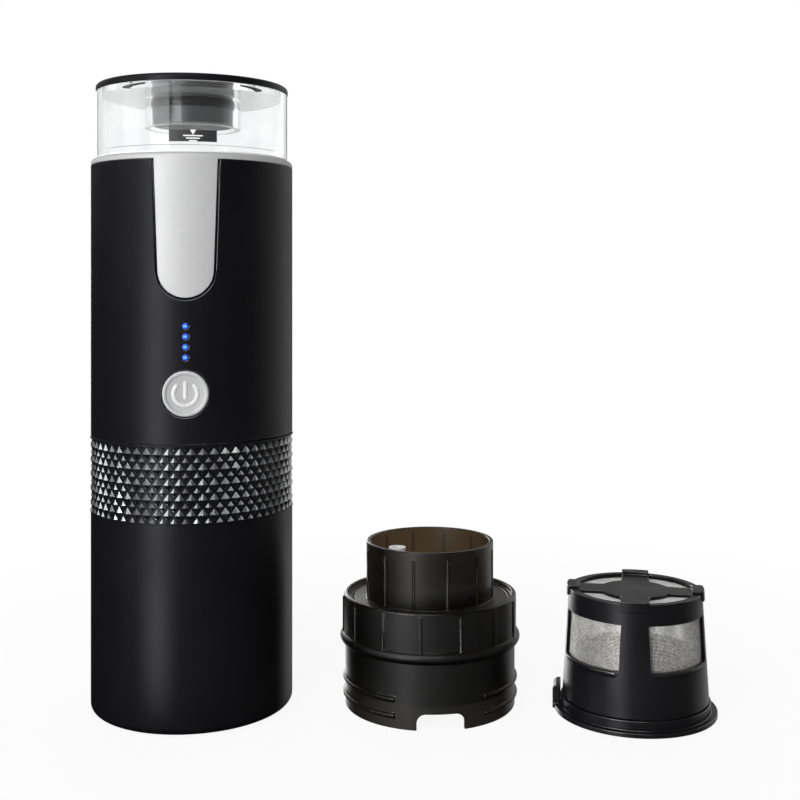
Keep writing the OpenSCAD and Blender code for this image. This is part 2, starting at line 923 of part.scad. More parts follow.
module piercing_needle() {
    flange_z1 = brew_z1 + needle_flange_t;
    tip_r = barb_bore_r + 0.2;
    color("#cfd2d6")
        rotate_extrude()
            polygon([
                [barb_bore_r, needle_z0], [tip_r, needle_z0], [needle_r, needle_z0 + needle_point_h],
                [needle_r, brew_z1], [needle_flange_r, brew_z1], [needle_flange_r, flange_z1],
                [barb_r, flange_z1], [barb_r, flange_z1 + needle_barb_h], [barb_bore_r, flange_z1 + needle_barb_h]
            ]);
}

module brew_gasket() {
    color("#eceae4")
        ring(socket_r - 9, socket_r - slide_gap, brew_z0 - gasket_t, brew_z0);
}

module rim_gasket() {
    color("#9a9a98")
        ring(spigot_r + fit_gap, neck_r - fit_gap, band_z1 + seat_gap, rebate_z1);
}

module lid_cap() {
    edge_z = lid_z0 + lid_edge_h;
    round_r = lid_h - lid_edge_h - 0.6;
    crown_r = lid_r * 0.62;
    color("#161617")
        rotate_extrude()
            polygon(concat(
                [[0, plug_z1], [lid_r - lid_lip_w, plug_z1], [lid_r - lid_lip_w, lid_z0], [lid_r, lid_z0]],
                arc([lid_r - round_r, edge_z], round_r, 0, 75, 6),
                [[crown_r, lid_z1 - 0.12], [crown_r / 2, lid_z1 - 0.03], [0, lid_z1]]
            ));
}

module lid_plug() {
    groove_z1 = ring_seal_z0 + ring_seal_h;
    color("#2b2c2f")
        rotate_extrude()
            polygon([
                [0, plug_z0], [plug_r, plug_z0], [plug_r, ring_seal_z0], [plug_r - ring_groove, ring_seal_z0],
                [plug_r - ring_groove, groove_z1], [plug_r, groove_z1], [plug_r, plug_z1],
                [plug_r - ring_groove - plug_wall, plug_z1], [plug_r - ring_groove - plug_wall, plug_z0 + plug_wall],
                [0, plug_z0 + plug_wall]
            ]);
}

module lid_gasket() {
    color("#f4f3ef")
        ring(plug_r + fit_gap, lid_r - lid_lip_w - fit_gap, lid_z0, plug_z1);
}

module lid_ring_seal() {
    seal_r = neck_d / 2 - ring_seal_gap;
    z0 = ring_seal_z0 + seat_gap;
    z1 = ring_seal_z0 + ring_seal_h - seat_gap;
    color("#0d0d0e")
        rotate_extrude()
            polygon([
                [plug_r - ring_groove, z0], [seal_r - 0.4, z0], [seal_r, z0 + 0.6],
                [seal_r, z1 - 0.6], [seal_r - 0.4, z1], [plug_r - ring_groove, z1]
            ]);
}

module holder_ring() {
    half = bead_h / 2;
    edge = 0.5;
    color("#3b332e", 0.8)
        translate(holder_at)
            difference() {
                union() {
                    rotate_extrude()
                        polygon(concat(
                            [[holder_in_r, 0], [holder_r - edge / 2, 0], [holder_r, edge], [holder_r, holder_low_h]],
                            arc([bead_r - half, holder_low_h + half], half, -70, 70),
                            [[grip_r, bead_z1], [grip_r, grip_z1 - edge], [grip_r - edge, grip_z1],
                             [grip_in_r, grip_z1], [grip_in_r, shoulder_z], [shelf_r, shoulder_z],
                             [shelf_r, shelf_z], [grip_in_r, shelf_z - ledge_t],
                             [grip_in_r, bead_z1], [holder_in_r, bead_z1 - 1],
                             [holder_in_r, seat_z + seat_t + ledge_t + ledge_w],
                             [shelf_r, seat_z + seat_t + ledge_t],
                             [shelf_r, seat_z + seat_t], [holder_in_r, seat_z + seat_t]]
                        ));
                    for (z = ridge_z, a = [0, 180])
                        rotate([0, 0, a - ridge_arc / 2])
                            rotate_extrude(angle = ridge_arc)
                                polygon([
                                    [holder_r - edge, z - ridge_h / 2], [thread_r, z - ridge_h / 6],
                                    [thread_r, z + ridge_h / 6], [holder_r - edge, z + ridge_h / 2]
                                ]);
                    for (i = [0 : grip_ribs - 1])
                        rotate([0, 0, 360 * (i + 0.5) / grip_ribs - 90])
                            translate([grip_r - edge, -rib_w / 2, bead_z1 - edge])
                                cube([rib_out + edge, rib_w, grip_h - rib_inset + edge]);
                }
                along_y(-holder_r - 3, -holder_in_r + 3)
                    round_rect(notch_w, 2 * notch_h, notch_round);
            }
}

module holder_chamber() {
    low_r = chamber_low_r + chamber_t;
    end_r = chamber_end_r + chamber_t;
    skirt_in_r = skirt_r - chamber_t;
    color("#2f2926", 0.8)
        translate(holder_at)
            difference() {
                union() {
                    rotate_extrude()
                        polygon([
                            [chamber_low_r, seat_z], [holder_in_r - fit_gap, seat_z],
                            [holder_in_r - fit_gap, seat_z + seat_t], [low_r, seat_z + seat_t],
                            [end_r, shelf_z], [shelf_r - slide_gap, shelf_z], [shelf_r - slide_gap, shoulder_z],
                            [skirt_r, shoulder_z], [skirt_r, holder_h], [skirt_in_r, holder_h],
                            [skirt_in_r, roof_z1], [0, roof_z1], [0, roof_z0], [skirt_in_r, roof_z0],
                            [skirt_in_r, shelf_z], [chamber_end_r, shelf_z]
                        ]);
                    for (i = [0 : skirt_lines - 1])
                        rotate([0, 0, 360 * (i + 0.3) / skirt_lines - 90])
                            translate([skirt_r - chamber_t / 2, -skirt_line_w / 2, shoulder_z - eps])
                                cube([chamber_t / 2 + skirt_line_out, skirt_line_w, holder_h - shoulder_z - 2.5]);
                }
                translate([spout_at[0], spout_at[1], roof_z0 - 1])
                    cylinder(h = chamber_t + 2, r = spout_r + pin_gap);
            }
}

module holder_needle() {
    z0 = roof_z0 - spout_below;
    z1 = roof_z1 + spout_above;
    color("#cfd2d6")
        translate(holder_at + [spout_at[0], spout_at[1], 0])
            rotate_extrude()
                polygon([
                    [spout_bore_r, z0], [spout_bore_r + 0.15, z0], [spout_r, z0 + spout_point_h],
                    [spout_r, z1], [spout_bore_r, z1]
                ]);
}

module holder_bush() {
    color("#f3f3ef")
        translate(holder_at + [spout_at[0], spout_at[1], 0])
            ring(spout_r + pin_gap, bush_r, roof_z1, roof_z1 + bush_h);
}

// Puts the basket's pieces in their place on the table
module at_filter() {
    translate(filter_at)
        rotate([0, 0, filter_turn])
            children();
}

// Outer radius of the basket's wall at height z
function basket_at(z) = basket_r + (basket_end_r - basket_r) * (z - basket_z0) / (filter_h - basket_z0);

module basket_frame() {
    in_end = basket_end_r - end_ring_w;
    mid_r = basket_at(window_up + window_h / 2);
    window_w = 2 * mid_r * sin(45 - asin(post_w / 2 / mid_r));
    sill_r = basket_at(window_up - sill_h) + sill_out;
    color("#141415")
        at_filter()
            difference() {
                union() {
                    rotate_extrude()
                        polygon([
                            [basket_r - basket_wall, basket_z0], [basket_r, basket_z0],
                            [basket_at(window_up - 2 * sill_h), window_up - 2 * sill_h], [sill_r, window_up - sill_h],
                            [sill_r, window_up - sill_h / 2], [basket_at(window_up), window_up],
                            [basket_end_r, filter_h], [in_end, filter_h], [in_end, end_mesh_z + mesh_t + mesh_gap],
                            [basket_at(end_mesh_z) - basket_wall, end_mesh_z + mesh_t + mesh_gap]
                        ]);
                    along_hinge(knuckle_half)
                        circle(knuckle_r);
                    translate([basket_r - basket_wall / 2, -knuckle_half, hinge_z + slide_gap])
                        cube([hinge_x - basket_r + basket_wall / 2, 2 * knuckle_half, knuckle_r - slide_gap]);
                }
                for (a = [45 : 90 : 315])
                    rotate([0, 0, a])
                        along_y(-basket_r - 2, -basket_r / 3)
                            translate([0, window_up + window_h / 2])
                                round_rect(window_w, window_h, window_round);
                along_hinge(knuckle_half + 1)
                    circle(hinge_pin_r + run_gap);
            }
}

// Runs a flat outline along the hinge's axis, to half on both sides
module along_hinge(half) {
    translate([hinge_x, 0, hinge_z])
        along_y(-half, half)
            children();
}

module basket_side_mesh() {
    z0 = window_up - mesh_over;
    z1 = window_up + window_h + mesh_over;
    r0 = basket_at(z0) - basket_wall - mesh_gap;
    r1 = basket_at(z1) - basket_wall - mesh_gap;
    color("#c9c6bf")
        at_filter()
            rotate_extrude()
                polygon([[r0 - mesh_t, z0], [r0, z0], [r1, z1], [r1 - mesh_t, z1]]);
}

module basket_end_mesh() {
    color("#d4d2cc")
        at_filter()
            translate([0, 0, end_mesh_z])
                cylinder(h = mesh_t, r = basket_at(end_mesh_z) - basket_wall - mesh_gap);
}

// Outline of the cross: four arms that flare into the hub, ending at x
function cross_outline(x) =
    let (half = arm_w / 2, hub_r = hub_d / 2,
         c = [sqrt(pow(hub_r + flare_r, 2) - pow(half + flare_r, 2)), half + flare_r],
         a = atan2(c[1], c[0]),
         quarter = concat(
             [[x, -half], [x, half]],
             arc(c, flare_r, -90, a - 180, 5),
             arc([0, 0], hub_r, a + 4, 86 - a, 4),
             arc([c[1], c[0]], flare_r, -90 - a, -180, 5)
         ))
    [for (q = [0 : 90 : 270], p = quarter) [p[0] * cos(q) - p[1] * sin(q), p[0] * sin(q) + p[1] * cos(q)]];

module basket_end_cross() {
    z0 = end_mesh_z + mesh_t + mesh_gap;
    clip_z0 = filter_h - clip_drop;
    clip_z1 = filter_h + clip_over;
    in_r = basket_end_r - end_ring_w - fit_gap;
    top_r = basket_end_r + fit_gap;
    low_r = basket_at(clip_z0) + fit_gap;
    color("#19191a")
        at_filter() {
            translate([0, 0, z0])
                linear_extrude(filter_h - cross_down - z0)
                    polygon(cross_outline(in_r - 0.75 * clip_t));
            intersection() {
                rotate_extrude()
                    polygon([
                        [in_r - clip_t, z0 + clip_t / 4], [in_r, z0 + clip_t / 4], [in_r, filter_h + seat_gap],
                        [top_r, filter_h + seat_gap], [low_r, clip_z0], [low_r + clip_t, clip_z0],
                        [top_r + clip_t, clip_z1], [in_r - clip_t, clip_z1]
                    ]);
                for (a = [0, 90])
                    rotate([0, 0, a])
                        translate([-2 * basket_end_r, -arm_w / 2, 0])
                            cube([4 * basket_end_r, arm_w, 2 * filter_h]);
            }
        }
}

module basket_lid() {
    ear_r0 = basket_r + ear_in;
    color("#151516")
        at_filter() {
            ring(lid_hole_r, flange_r, 0, flange_t);
            difference() {
                ring(lid_ring_r - lid_ring_w, lid_ring_r, flange_t - eps, basket_z0 - slide_gap);
                translate([0, -knuckle_end - 1, flange_t])
                    cube([2 * basket_r, 2 * knuckle_end + 2, basket_z0]);
            }
            for (s = [-1, 1])
                difference() {
                    union() {
                        translate([0, s * (knuckle_half + slide_gap + knuckle_end) / 2, 0])
                            along_hinge((knuckle_end - knuckle_half - slide_gap) / 2)
                                circle(knuckle_r);
                        translate([hinge_x - knuckle_r, s > 0 ? knuckle_half + slide_gap : -knuckle_end, flange_t - eps])
                            cube([2 * knuckle_r, knuckle_end - knuckle_half - slide_gap, hinge_z - flange_t]);
                    }
                    along_hinge(knuckle_end + 1)
                        circle(hinge_pin_r + pin_gap);
                }
            rotate([0, 0, 90])
                along_y(-ear_w / 2, ear_w / 2)
                    polygon([
                        [ear_r0, 0], [ear_r, 0], [ear_r, ear_h - ear_round],
                        [ear_r - ear_round, ear_h], [ear_r0, ear_h]
                    ]);
        }
}

module basket_hinge_pin() {
    color("#b9bcc0")
        at_filter()
            along_hinge(knuckle_end)
                circle(hinge_pin_r);
}

cup_shell();
grip_band();
cup_foot_pad();
upper_housing();
trim_collar();
water_tank();
tank_neck();
tank_seal_ring();
tank_strainer();
inner_frame();
frame_top();
frame_screws();
battery_cells();
pump_motor();
pump_body();
pump_rotor();
inlet_tube();
outlet_tube();
control_board();
push_switch();
light_chips();
light_pipe();
power_button();
charge_board();
charge_socket();
port_cover();
brew_head();
piercing_needle();
brew_gasket();
rim_gasket();
lid_cap();
lid_plug();
lid_gasket();
lid_ring_seal();
holder_ring();
holder_chamber();
holder_needle();
holder_bush();
basket_frame();
basket_side_mesh();
basket_end_mesh();
basket_end_cross();
basket_lid();
basket_hinge_pin();
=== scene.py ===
"""Looks of the portable coffee machine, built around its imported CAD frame."""

import json
import math

import bmesh
import bpy
from mathutils import Matrix, Vector


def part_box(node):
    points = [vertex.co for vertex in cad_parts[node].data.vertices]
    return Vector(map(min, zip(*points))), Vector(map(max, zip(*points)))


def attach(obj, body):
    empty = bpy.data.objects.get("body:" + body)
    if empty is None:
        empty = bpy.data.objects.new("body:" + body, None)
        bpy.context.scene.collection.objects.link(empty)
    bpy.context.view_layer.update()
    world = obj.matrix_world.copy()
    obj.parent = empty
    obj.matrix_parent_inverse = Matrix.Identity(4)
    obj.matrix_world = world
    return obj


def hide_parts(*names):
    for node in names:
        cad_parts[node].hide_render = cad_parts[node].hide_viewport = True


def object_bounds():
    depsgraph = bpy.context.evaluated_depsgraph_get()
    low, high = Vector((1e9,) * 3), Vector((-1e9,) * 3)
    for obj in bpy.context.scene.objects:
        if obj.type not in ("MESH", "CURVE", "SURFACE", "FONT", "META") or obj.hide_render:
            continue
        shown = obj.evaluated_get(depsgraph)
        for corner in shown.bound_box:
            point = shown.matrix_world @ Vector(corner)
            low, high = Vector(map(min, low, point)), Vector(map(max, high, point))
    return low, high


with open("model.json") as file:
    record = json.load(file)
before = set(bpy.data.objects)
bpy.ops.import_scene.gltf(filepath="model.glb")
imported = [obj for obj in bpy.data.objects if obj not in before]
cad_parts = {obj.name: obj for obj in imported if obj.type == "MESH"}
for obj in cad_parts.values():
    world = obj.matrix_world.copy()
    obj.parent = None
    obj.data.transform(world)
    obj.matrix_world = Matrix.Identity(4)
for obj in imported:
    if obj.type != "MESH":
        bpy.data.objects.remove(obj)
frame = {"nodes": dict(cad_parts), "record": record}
cad_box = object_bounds()
cad = frame["nodes"]
body_of_node = {n: b for b, ns in frame["record"]["behaviour"]["bodies"].items() for n in ns}
slot_of_node = {p["node"]: p["material_slot"] for p in frame["record"]["subparts"]}

MM = 0.001
TURN = 2 * math.pi
# Points this near a height count as lying on it
LEVEL_GAP = 0.02 * MM
WHITE = (1.0, 1.0, 1.0, 1.0)
FLOAT, INTEGER, VECTOR = "NodeSocketFloat", "NodeSocketInt", "NodeSocketVector"
GEOMETRY, MATERIAL = "NodeSocketGeometry", "NodeSocketMaterial"


# Sizes read from the frame

def middle(node):
    low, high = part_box(node)
    return (low + high) / 2


def radius_at(node, axis, top):
    """Largest distance from an upright axis at the top or foot of a CAD node."""
    low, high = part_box(node)
    level = high.z if top else low.z
    return max(
        math.hypot(v.co.x - axis.x, v.co.y - axis.y)
        for v in cad[node].data.vertices
        if abs(v.co.z - level) < LEVEL_GAP
    )


def distinct(values, gap):
    """Values in rising order, with those closer than the gap taken as one."""
    kept = []
    for value in sorted(values):
        if not kept or value - kept[-1] > gap:
            kept.append(value)
    return kept


tank_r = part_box("water_tank")[1].x
button_low, button_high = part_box("power_button")
button_mid = (button_low + button_high) / 2
button_r = (button_high.z - button_low.z) / 2
basket_mid = middle("basket_end_mesh")
hinge = next(j for j in frame["record"]["behaviour"]["joints"] if j["name"] == "basket_swing")
basket_turn = -math.atan2(hinge["axis"][0], hinge["axis"][1])


# Trees of nodes

class Graph:
    """A shader or geometry tree that grows node by node."""

    def __init__(self, tree):
        self.tree = tree

    def put(self, socket, value):
        if isinstance(value, bpy.types.NodeSocket):
            self.tree.links.new(value, socket)
        else:
            socket.default_value = value

    def add(self, kind, inputs=None, **settings):
        node = self.tree.nodes.new(kind)
        for key, value in settings.items():
            setattr(node, key, value)
        for key, value in (inputs or {}).items():
            self.put(node.inputs[key], value)
        return node

    def math(self, operation, *values):
        node = self.add("ShaderNodeMath", operation=operation)
        for socket, value in zip(node.inputs, values):
            self.put(socket, value)
        return node.outputs[0]

    def product(self, *values):
        result = values[0]
        for value in values[1:]:
            result = self.math("MULTIPLY", result, value)
        return result

    def vector(self, x, y, z):
        return self.add("ShaderNodeCombineXYZ", {"X": x, "Y": y, "Z": z}).outputs[0]

    def around(self, radius, angle, height):
        """A place round the upright axis, with angle 0 at the front."""
        return self.vector(self.product(radius, self.math("SINE", angle)),
                           self.product(radius, self.math("COSINE", angle), -1.0), height)

    def spot(self):
        """X, Y and Z of each point of a geometry tree."""
        here = self.add("GeometryNodeInputPosition").outputs[0]
        return self.add("ShaderNodeSeparateXYZ", {"Vector": here}).outputs

    def joined(self, *parts):
        node = self.add("GeometryNodeJoinGeometry")
        for part in parts:
            self.put(node.inputs[0], part)
        return node.outputs[0]

    def scaled_range(self, value, low, high, start=0.0, end=1.0):
        return self.add("ShaderNodeMapRange", {
            "Value": value, "From Min": start, "From Max": end, "To Min": low, "To Max": high,
        }).outputs["Result"]


def grouped(name, kind, inputs, outputs):
    """An empty node group with named sockets: its graph, its input sockets and its output sockets."""
    tree = bpy.data.node_groups.new(name, kind)
    for way, sockets in (("INPUT", inputs), ("OUTPUT", outputs)):
        for label, socket in sockets:
            tree.interface.new_socket(label, in_out=way, socket_type=socket)
    graph = Graph(tree)
    return graph, graph.add("NodeGroupInput").outputs, graph.add("NodeGroupOutput").inputs


def effect_group(name, inputs, *outputs):
    return grouped(name, "ShaderNodeTree", inputs, [(label, FLOAT) for label in outputs])


def shape_group(name, inputs):
    return grouped(name, "GeometryNodeTree", inputs + [("Material", MATERIAL)], [("Geometry", GEOMETRY)])


# Shared effects of the finishes

def moulded_skin_group():
    """Fine grain of a moulded or painted face, and a slow drift over it."""
    g, given, out = effect_group("moulded_skin", [("Grain Scale", FLOAT), ("Drift Scale", FLOAT)], "Grain", "Drift")
    place = g.add("ShaderNodeTexCoord").outputs["Object"]
    grain = g.add("ShaderNodeTexNoise", {
        "Vector": place, "Scale": given["Grain Scale"], "Detail": 2.0, "Roughness": 0.55,
    })
    drift = g.add("ShaderNodeTexNoise", {
        "Vector": place, "Scale": given["Drift Scale"], "Detail": 3.0, "Roughness": 0.5,
    })
    g.put(out["Grain"], grain.outputs["Fac"])
    g.put(out["Drift"], g.scaled_range(drift.outputs["Fac"], 0.0, 1.0, 0.3, 0.7))
    return g.tree


def handling_marks_group():
    """Sparse hairlines and finger smears, as a mask."""
    g, given, out = effect_group("handling_marks", [("Scale", FLOAT)], "Marks")
    place = g.add("ShaderNodeTexCoord").outputs["Object"]
    drawn = g.add("ShaderNodeMapping", {"Vector": place, "Rotation": (0.3, 0.2, 0.5), "Scale": (1.0, 1.0, 0.06)})
    hairs = g.add("ShaderNodeTexNoise", {"Vector": drawn.outputs[0], "Scale": given["Scale"], "Detail": 1.0})
    smear = g.add("ShaderNodeTexNoise", {
        "Vector": place, "Scale": g.product(given["Scale"], 0.06), "Detail": 4.0, "Distortion": 0.6,
    })
    thin = g.scaled_range(hairs.outputs["Fac"], 0.0, 1.0, 0.66, 0.74)
    patch = g.scaled_range(smear.outputs["Fac"], 0.0, 1.0, 0.5, 0.75)
    g.put(out["Marks"], g.math("MAXIMUM", g.product(thin, 0.5), patch))
    return g.tree


def metal_flake_group():
    """Flakes of a silver paint: each has its own brightness and tilt."""
    g, given, out = effect_group("metal_flake", [("Scale", FLOAT)], "Flake", "Tilt")
    place = g.add("ShaderNodeTexCoord").outputs["Object"]
    cells = g.add("ShaderNodeTexVoronoi", {"Vector": place, "Scale": given["Scale"]})
    split = g.add("ShaderNodeSeparateColor", {"Color": cells.outputs["Color"]})
    g.put(out["Flake"], split.outputs["Red"])
    g.put(out["Tilt"], split.outputs["Green"])
    return g.tree


def drawn_lines_group():
    """Lines along one direction, as on drawn or brushed metal; on the tank's plug they are painted streaks of light
    from the tank wall.
    """
    g, given, out = effect_group("drawn_lines_and_light_streaks", [("Scale", FLOAT), ("Run", VECTOR)], "Lines")
    place = g.add("ShaderNodeTexCoord").outputs["Object"]
    run = g.add("ShaderNodeMapping", {"Vector": place, "Scale": given["Run"]})
    noise = g.add("ShaderNodeTexNoise", {"Vector": run.outputs[0], "Scale": given["Scale"], "Detail": 3.0})
    g.put(out["Lines"], noise.outputs["Fac"])
    return g.tree


EFFECT = {
    "skin": moulded_skin_group(),
    "marks": handling_marks_group(),
    "flake": metal_flake_group(),
    "lines": drawn_lines_group(),
}
MARK_SIZE = 0.9


def effect(g, name, **sizes):
    """A shared effect placed in a finish, with its scales worked out from sizes in mm."""
    scales = {label.replace("_", " "): 1 / (size * MM) for label, size in sizes.items()}
    return g.add("ShaderNodeGroup", scales, node_tree=EFFECT[name])


# Finishes

def tone(colour, factor):
    return tuple(min(1.0, c * factor) for c in colour) + (1.0,)


def blended(g, factor, low, high):
    """A colour between two, by a factor that changes over the surface."""
    node = g.add("ShaderNodeMix", data_type="RGBA")
    g.put(node.inputs["Factor"], factor)
    g.put(node.inputs[6], low)
    g.put(node.inputs[7], high)
    return node.outputs[2]


def new_finish(name):
    """A new material, its graph and its shader."""
    material = bpy.data.materials.new(name)
    material.use_nodes = True
    return material, Graph(material.node_tree), material.node_tree.nodes["Principled BSDF"]


def coat(g, shader, colour, roughness, height, depth):
    """Feeds the shader with what changes over the surface. depth is the height of the grain in mm."""
    bump = g.add("ShaderNodeBump", {"Height": height, "Distance": depth * MM, "Strength": 1.0})
    g.put(shader.inputs["Base Color"], colour)
    g.put(shader.inputs["Roughness"], roughness)
    g.put(shader.inputs["Normal"], bump.outputs["Normal"])


def finish(name, colour, roughness, grain=0.4, depth=0.01, drift=12.0, shade=0.12, spread=0.05,
           marks=0.0, flake=0.0, lines=None, **sockets):
    """A moulded, painted or metal finish. grain, drift and flake are sizes in mm, depth is the grain's height."""
    material, g, shader = new_finish(name)
    skin = effect(g, "skin", Grain_Scale=grain, Drift_Scale=drift).outputs
    mix, height = skin["Drift"], skin["Grain"]
    rough = g.scaled_range(skin["Drift"], roughness - spread, roughness + spread)
    if flake:
        flakes = effect(g, "flake", Scale=flake).outputs
        mix, height = flakes["Flake"], flakes["Tilt"]
    if lines:
        drawn = effect(g, "lines", Scale=grain)
        drawn.inputs["Run"].default_value = lines
        mix = height = drawn.outputs["Lines"]
    if marks:
        worn = effect(g, "marks", Scale=MARK_SIZE).outputs["Marks"]
        rough = g.math("ADD", rough, g.product(worn, marks))
    coat(g, shader, blended(g, mix, tone(colour, 1 - shade), tone(colour, 1 + shade)), rough, height, depth)
    for label, value in sockets.items():
        shader.inputs[label.replace("_", " ")].default_value = value
    return material


def see_through(name, colour, roughness, drift, spread, depth, ior, gloss=1.0, lets_light=False):
    """A clear or smoky moulding. Its colour is the light that one wall lets through, gloss the share of the shine kept.

    lets_light leaves the wall out for the rays that light what is behind it."""
    material, g, shader = new_finish(name)
    skin = effect(g, "skin", Grain_Scale=drift, Drift_Scale=2.5 * drift).outputs
    tint = blended(g, skin["Drift"], tone(colour, 0.94), tone(colour, 1.06))
    coat(g, shader, tint, g.scaled_range(skin["Grain"], roughness, roughness + spread), skin["Grain"], depth)
    shader.inputs["Transmission Weight"].default_value = 1.0
    shader.inputs["IOR"].default_value = ior
    shader.inputs["Specular Tint"].default_value = (gloss, gloss, gloss, 1.0)
    if lets_light:
        path = g.add("ShaderNodeLightPath").outputs
        lighting = g.math("MAXIMUM", path["Is Shadow Ray"], path["Is Diffuse Ray"])
        g.put(shader.inputs["Alpha"], g.math("SUBTRACT", 1.0, lighting))
    return material


# Colours of a lit lens, from its rim to its middle
LENS_GLOW = [
    (0.0, (0.001, 0.004, 0.2, 1)), (0.3, (0.002, 0.04, 0.8, 1)),
    (0.6, (0.03, 0.35, 1.0, 1)), (1.0, (0.45, 0.95, 1.0, 1)),
]


def lit_lens(name):
    """A blue light behind a clear lens: pale in the middle, deep blue at the rim."""
    material, g, shader = new_finish(name)
    dome = g.add("ShaderNodeAttribute", attribute_name="dome").outputs["Fac"]
    ramp = g.add("ShaderNodeValToRGB", {"Fac": dome})
    stops = ramp.color_ramp.elements
    stops[0].position, stops[0].color = LENS_GLOW[0]
    stops[1].position, stops[1].color = LENS_GLOW[-1]
    for place, colour in LENS_GLOW[1:-1]:
        stops.new(place).color = colour
    g.put(shader.inputs["Emission Color"], ramp.outputs["Color"])
    g.put(shader.inputs["Base Color"], blended(g, dome, (0.005, 0.01, 0.08, 1), (0.02, 0.08, 0.3, 1)))
    shader.inputs["Emission Strength"].default_value = 1.0
    shader.inputs["Roughness"].default_value = 0.2
    return material


satin_black = finish("satin_black_paint", (0.0045, 0.0045, 0.0055), 0.41, grain=0.22, depth=0.001, drift=30,
                     spread=0.03, marks=0.03, Specular_IOR_Level=0.4, Specular_Tint=(0.35, 0.35, 0.36, 1.0))
band_black = finish("band_black_chrome", (0.4, 0.405, 0.42), 0.13, grain=0.5, depth=0.002, drift=8, marks=0.06,
                    Metallic=1.0)
housing_edge = finish("housing_edge_black", (0.012, 0.012, 0.013), 0.22, grain=0.3, depth=0.001, drift=10, spread=0.03,
                      Specular_IOR_Level=1.0)
lid_black = finish("lid_black", (0.007, 0.007, 0.008), 0.34, grain=0.25, depth=0.003, drift=20, marks=0.06,
                   Specular_IOR_Level=0.3, Specular_Tint=(0.4, 0.4, 0.41, 1.0))
basket_black = finish("basket_gloss_black", (0.007, 0.007, 0.008), 0.38, grain=0.8, depth=0.003, drift=14, marks=0.08,
                      Specular_IOR_Level=0.35, Specular_Tint=(0.42, 0.42, 0.43, 1.0))
basket_edge = finish("basket_edge_black", (0.008, 0.008, 0.009), 0.2, grain=0.8, depth=0.002, drift=14, spread=0.03,
                     Specular_IOR_Level=1.0)
# Painted light: the plug's strong vertical streaks stand in for light refracted and reflected by the clear tank wall in
# front of it
plug_black = finish("plug_dark", (0.04, 0.04, 0.042), 0.4, grain=1.1, depth=0.006, shade=0.7, lines=(1.0, 1.0, 0.03))
silver = finish("silver_paint", (0.5, 0.5, 0.505), 0.48, drift=10, shade=0.06, depth=0.003, flake=0.22,
                marks=0.04, Metallic=0.15)
# Painted shade: the button's dish floor takes a darker copy of the silver paint, for the shade in the recess
shaded_dish_silver = finish("shaded_dish_silver", (0.45, 0.45, 0.455), 0.5, drift=10, shade=0.06, depth=0.003, flake=0.22,
                     Metallic=0.15)
# Painted highlight: the raised power sign takes a lighter copy of the silver paint, for the light it catches
lit_symbol_silver = finish("lit_symbol_silver", (0.66, 0.66, 0.66), 0.45, drift=10, shade=0.04, depth=0.002, flake=0.22,
                       Metallic=0.1)
clear = see_through("clear_tank", (0.97, 0.98, 0.985), 0.01, 6, 0.03, 0.004, 1.46, gloss=0.22, lets_light=True)
smoke = see_through("smoky_moulding", (0.05, 0.033, 0.017), 0.35, 10, 0.1, 0.003, 1.5, gloss=0.75)
dark_smoke = see_through("dark_smoky_moulding", (0.012, 0.01, 0.008), 0.37, 10, 0.1, 0.003, 1.5, gloss=0.78)
smoke_edge = see_through("smoky_edge", (0.02, 0.015, 0.01), 0.24, 10, 0.06, 0.002, 1.5, gloss=0.75)
pale_rubber = finish("pale_silicone", (0.92, 0.92, 0.905), 0.5, grain=0.3, depth=0.004, shade=0.04)
black_rubber = finish("black_rubber", (0.006, 0.006, 0.006), 0.7, grain=0.25, depth=0.012, shade=0.2,
                      Specular_IOR_Level=0.15)
steel = finish("drawn_steel", (0.62, 0.61, 0.59), 0.28, grain=0.12, depth=0.003, lines=(1.0, 1.0, 0.05), Metallic=1.0)
wire_steel = finish("screen_wire", (0.78, 0.765, 0.73), 0.42, shade=0.3, depth=0.002, flake=0.5, Metallic=0.9)
end_steel = finish("end_screen_wire", (0.9, 0.89, 0.87), 0.5, grain=0.1, depth=0.002, lines=(1.0, 1.0, 0.2),
                   Metallic=0.3)
frame_pale = finish("frame_pale", (0.75, 0.75, 0.74), 0.5, grain=0.35, depth=0.01, shade=0.05)
frame_grey = finish("frame_moulding", (0.06, 0.06, 0.065), 0.5, grain=0.35, depth=0.01)
cell_wrap = finish("cell_wrap", (0.05, 0.2, 0.42), 0.3, grain=1.2, depth=0.01, marks=0.08)
board_green = finish("board_green", (0.03, 0.15, 0.08), 0.35, grain=0.6, depth=0.008)
plate_dark = finish("level_plate_dark", (0.03, 0.03, 0.032), 0.45, grain=0.2, depth=0.004)
mark_white = finish("level_mark_white", (0.85, 0.85, 0.84), 0.5, grain=0.2, depth=0.002, shade=0.04)
pipe_blue = see_through("light_pipe_clear", (0.25, 0.5, 0.95), 0.1, 3, 0.05, 0.004, 1.49)
lens_blue = lit_lens("lens_blue")

SLOT_FINISH = {
    "satin_black": satin_black, "gloss_black": basket_black, "silver_satin": silver, "clear_plastic": clear,
    "smoke_plastic": smoke, "pale_silicone": pale_rubber, "black_rubber": black_rubber, "steel": steel,
    "frame_plastic": frame_grey, "cell_wrap": cell_wrap, "board": board_green, "light_blue": pipe_blue,
}
NODE_FINISH = {"grip_band": band_black, "lid_cap": lid_black, "lid_plug": plug_black, "light_chips": pale_rubber,
               "frame_top": frame_pale, "holder_ring": dark_smoke}

for node, thing in cad.items():
    thing.data.materials.clear()
    thing.data.materials.append(NODE_FINISH.get(node, SLOT_FINISH[slot_of_node[node]]))


# Pieces

def new_object(name, data):
    thing = bpy.data.objects.new(name, data)
    bpy.context.scene.collection.objects.link(thing)
    return thing


def placed(name, mesh, body, slot, *stands_for):
    """A finished piece at the origin, riding on its body."""
    piece = new_object(name, mesh)
    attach(piece, body)
    if stands_for:
        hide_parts(*stands_for)


def baked(name, source):
    """The evaluated mesh of a helper object, which is then removed."""
    seen = source.evaluated_get(bpy.context.evaluated_depsgraph_get())
    mesh = bpy.data.meshes.new_from_object(seen)
    mesh.name = name
    bpy.data.objects.remove(source)
    return mesh


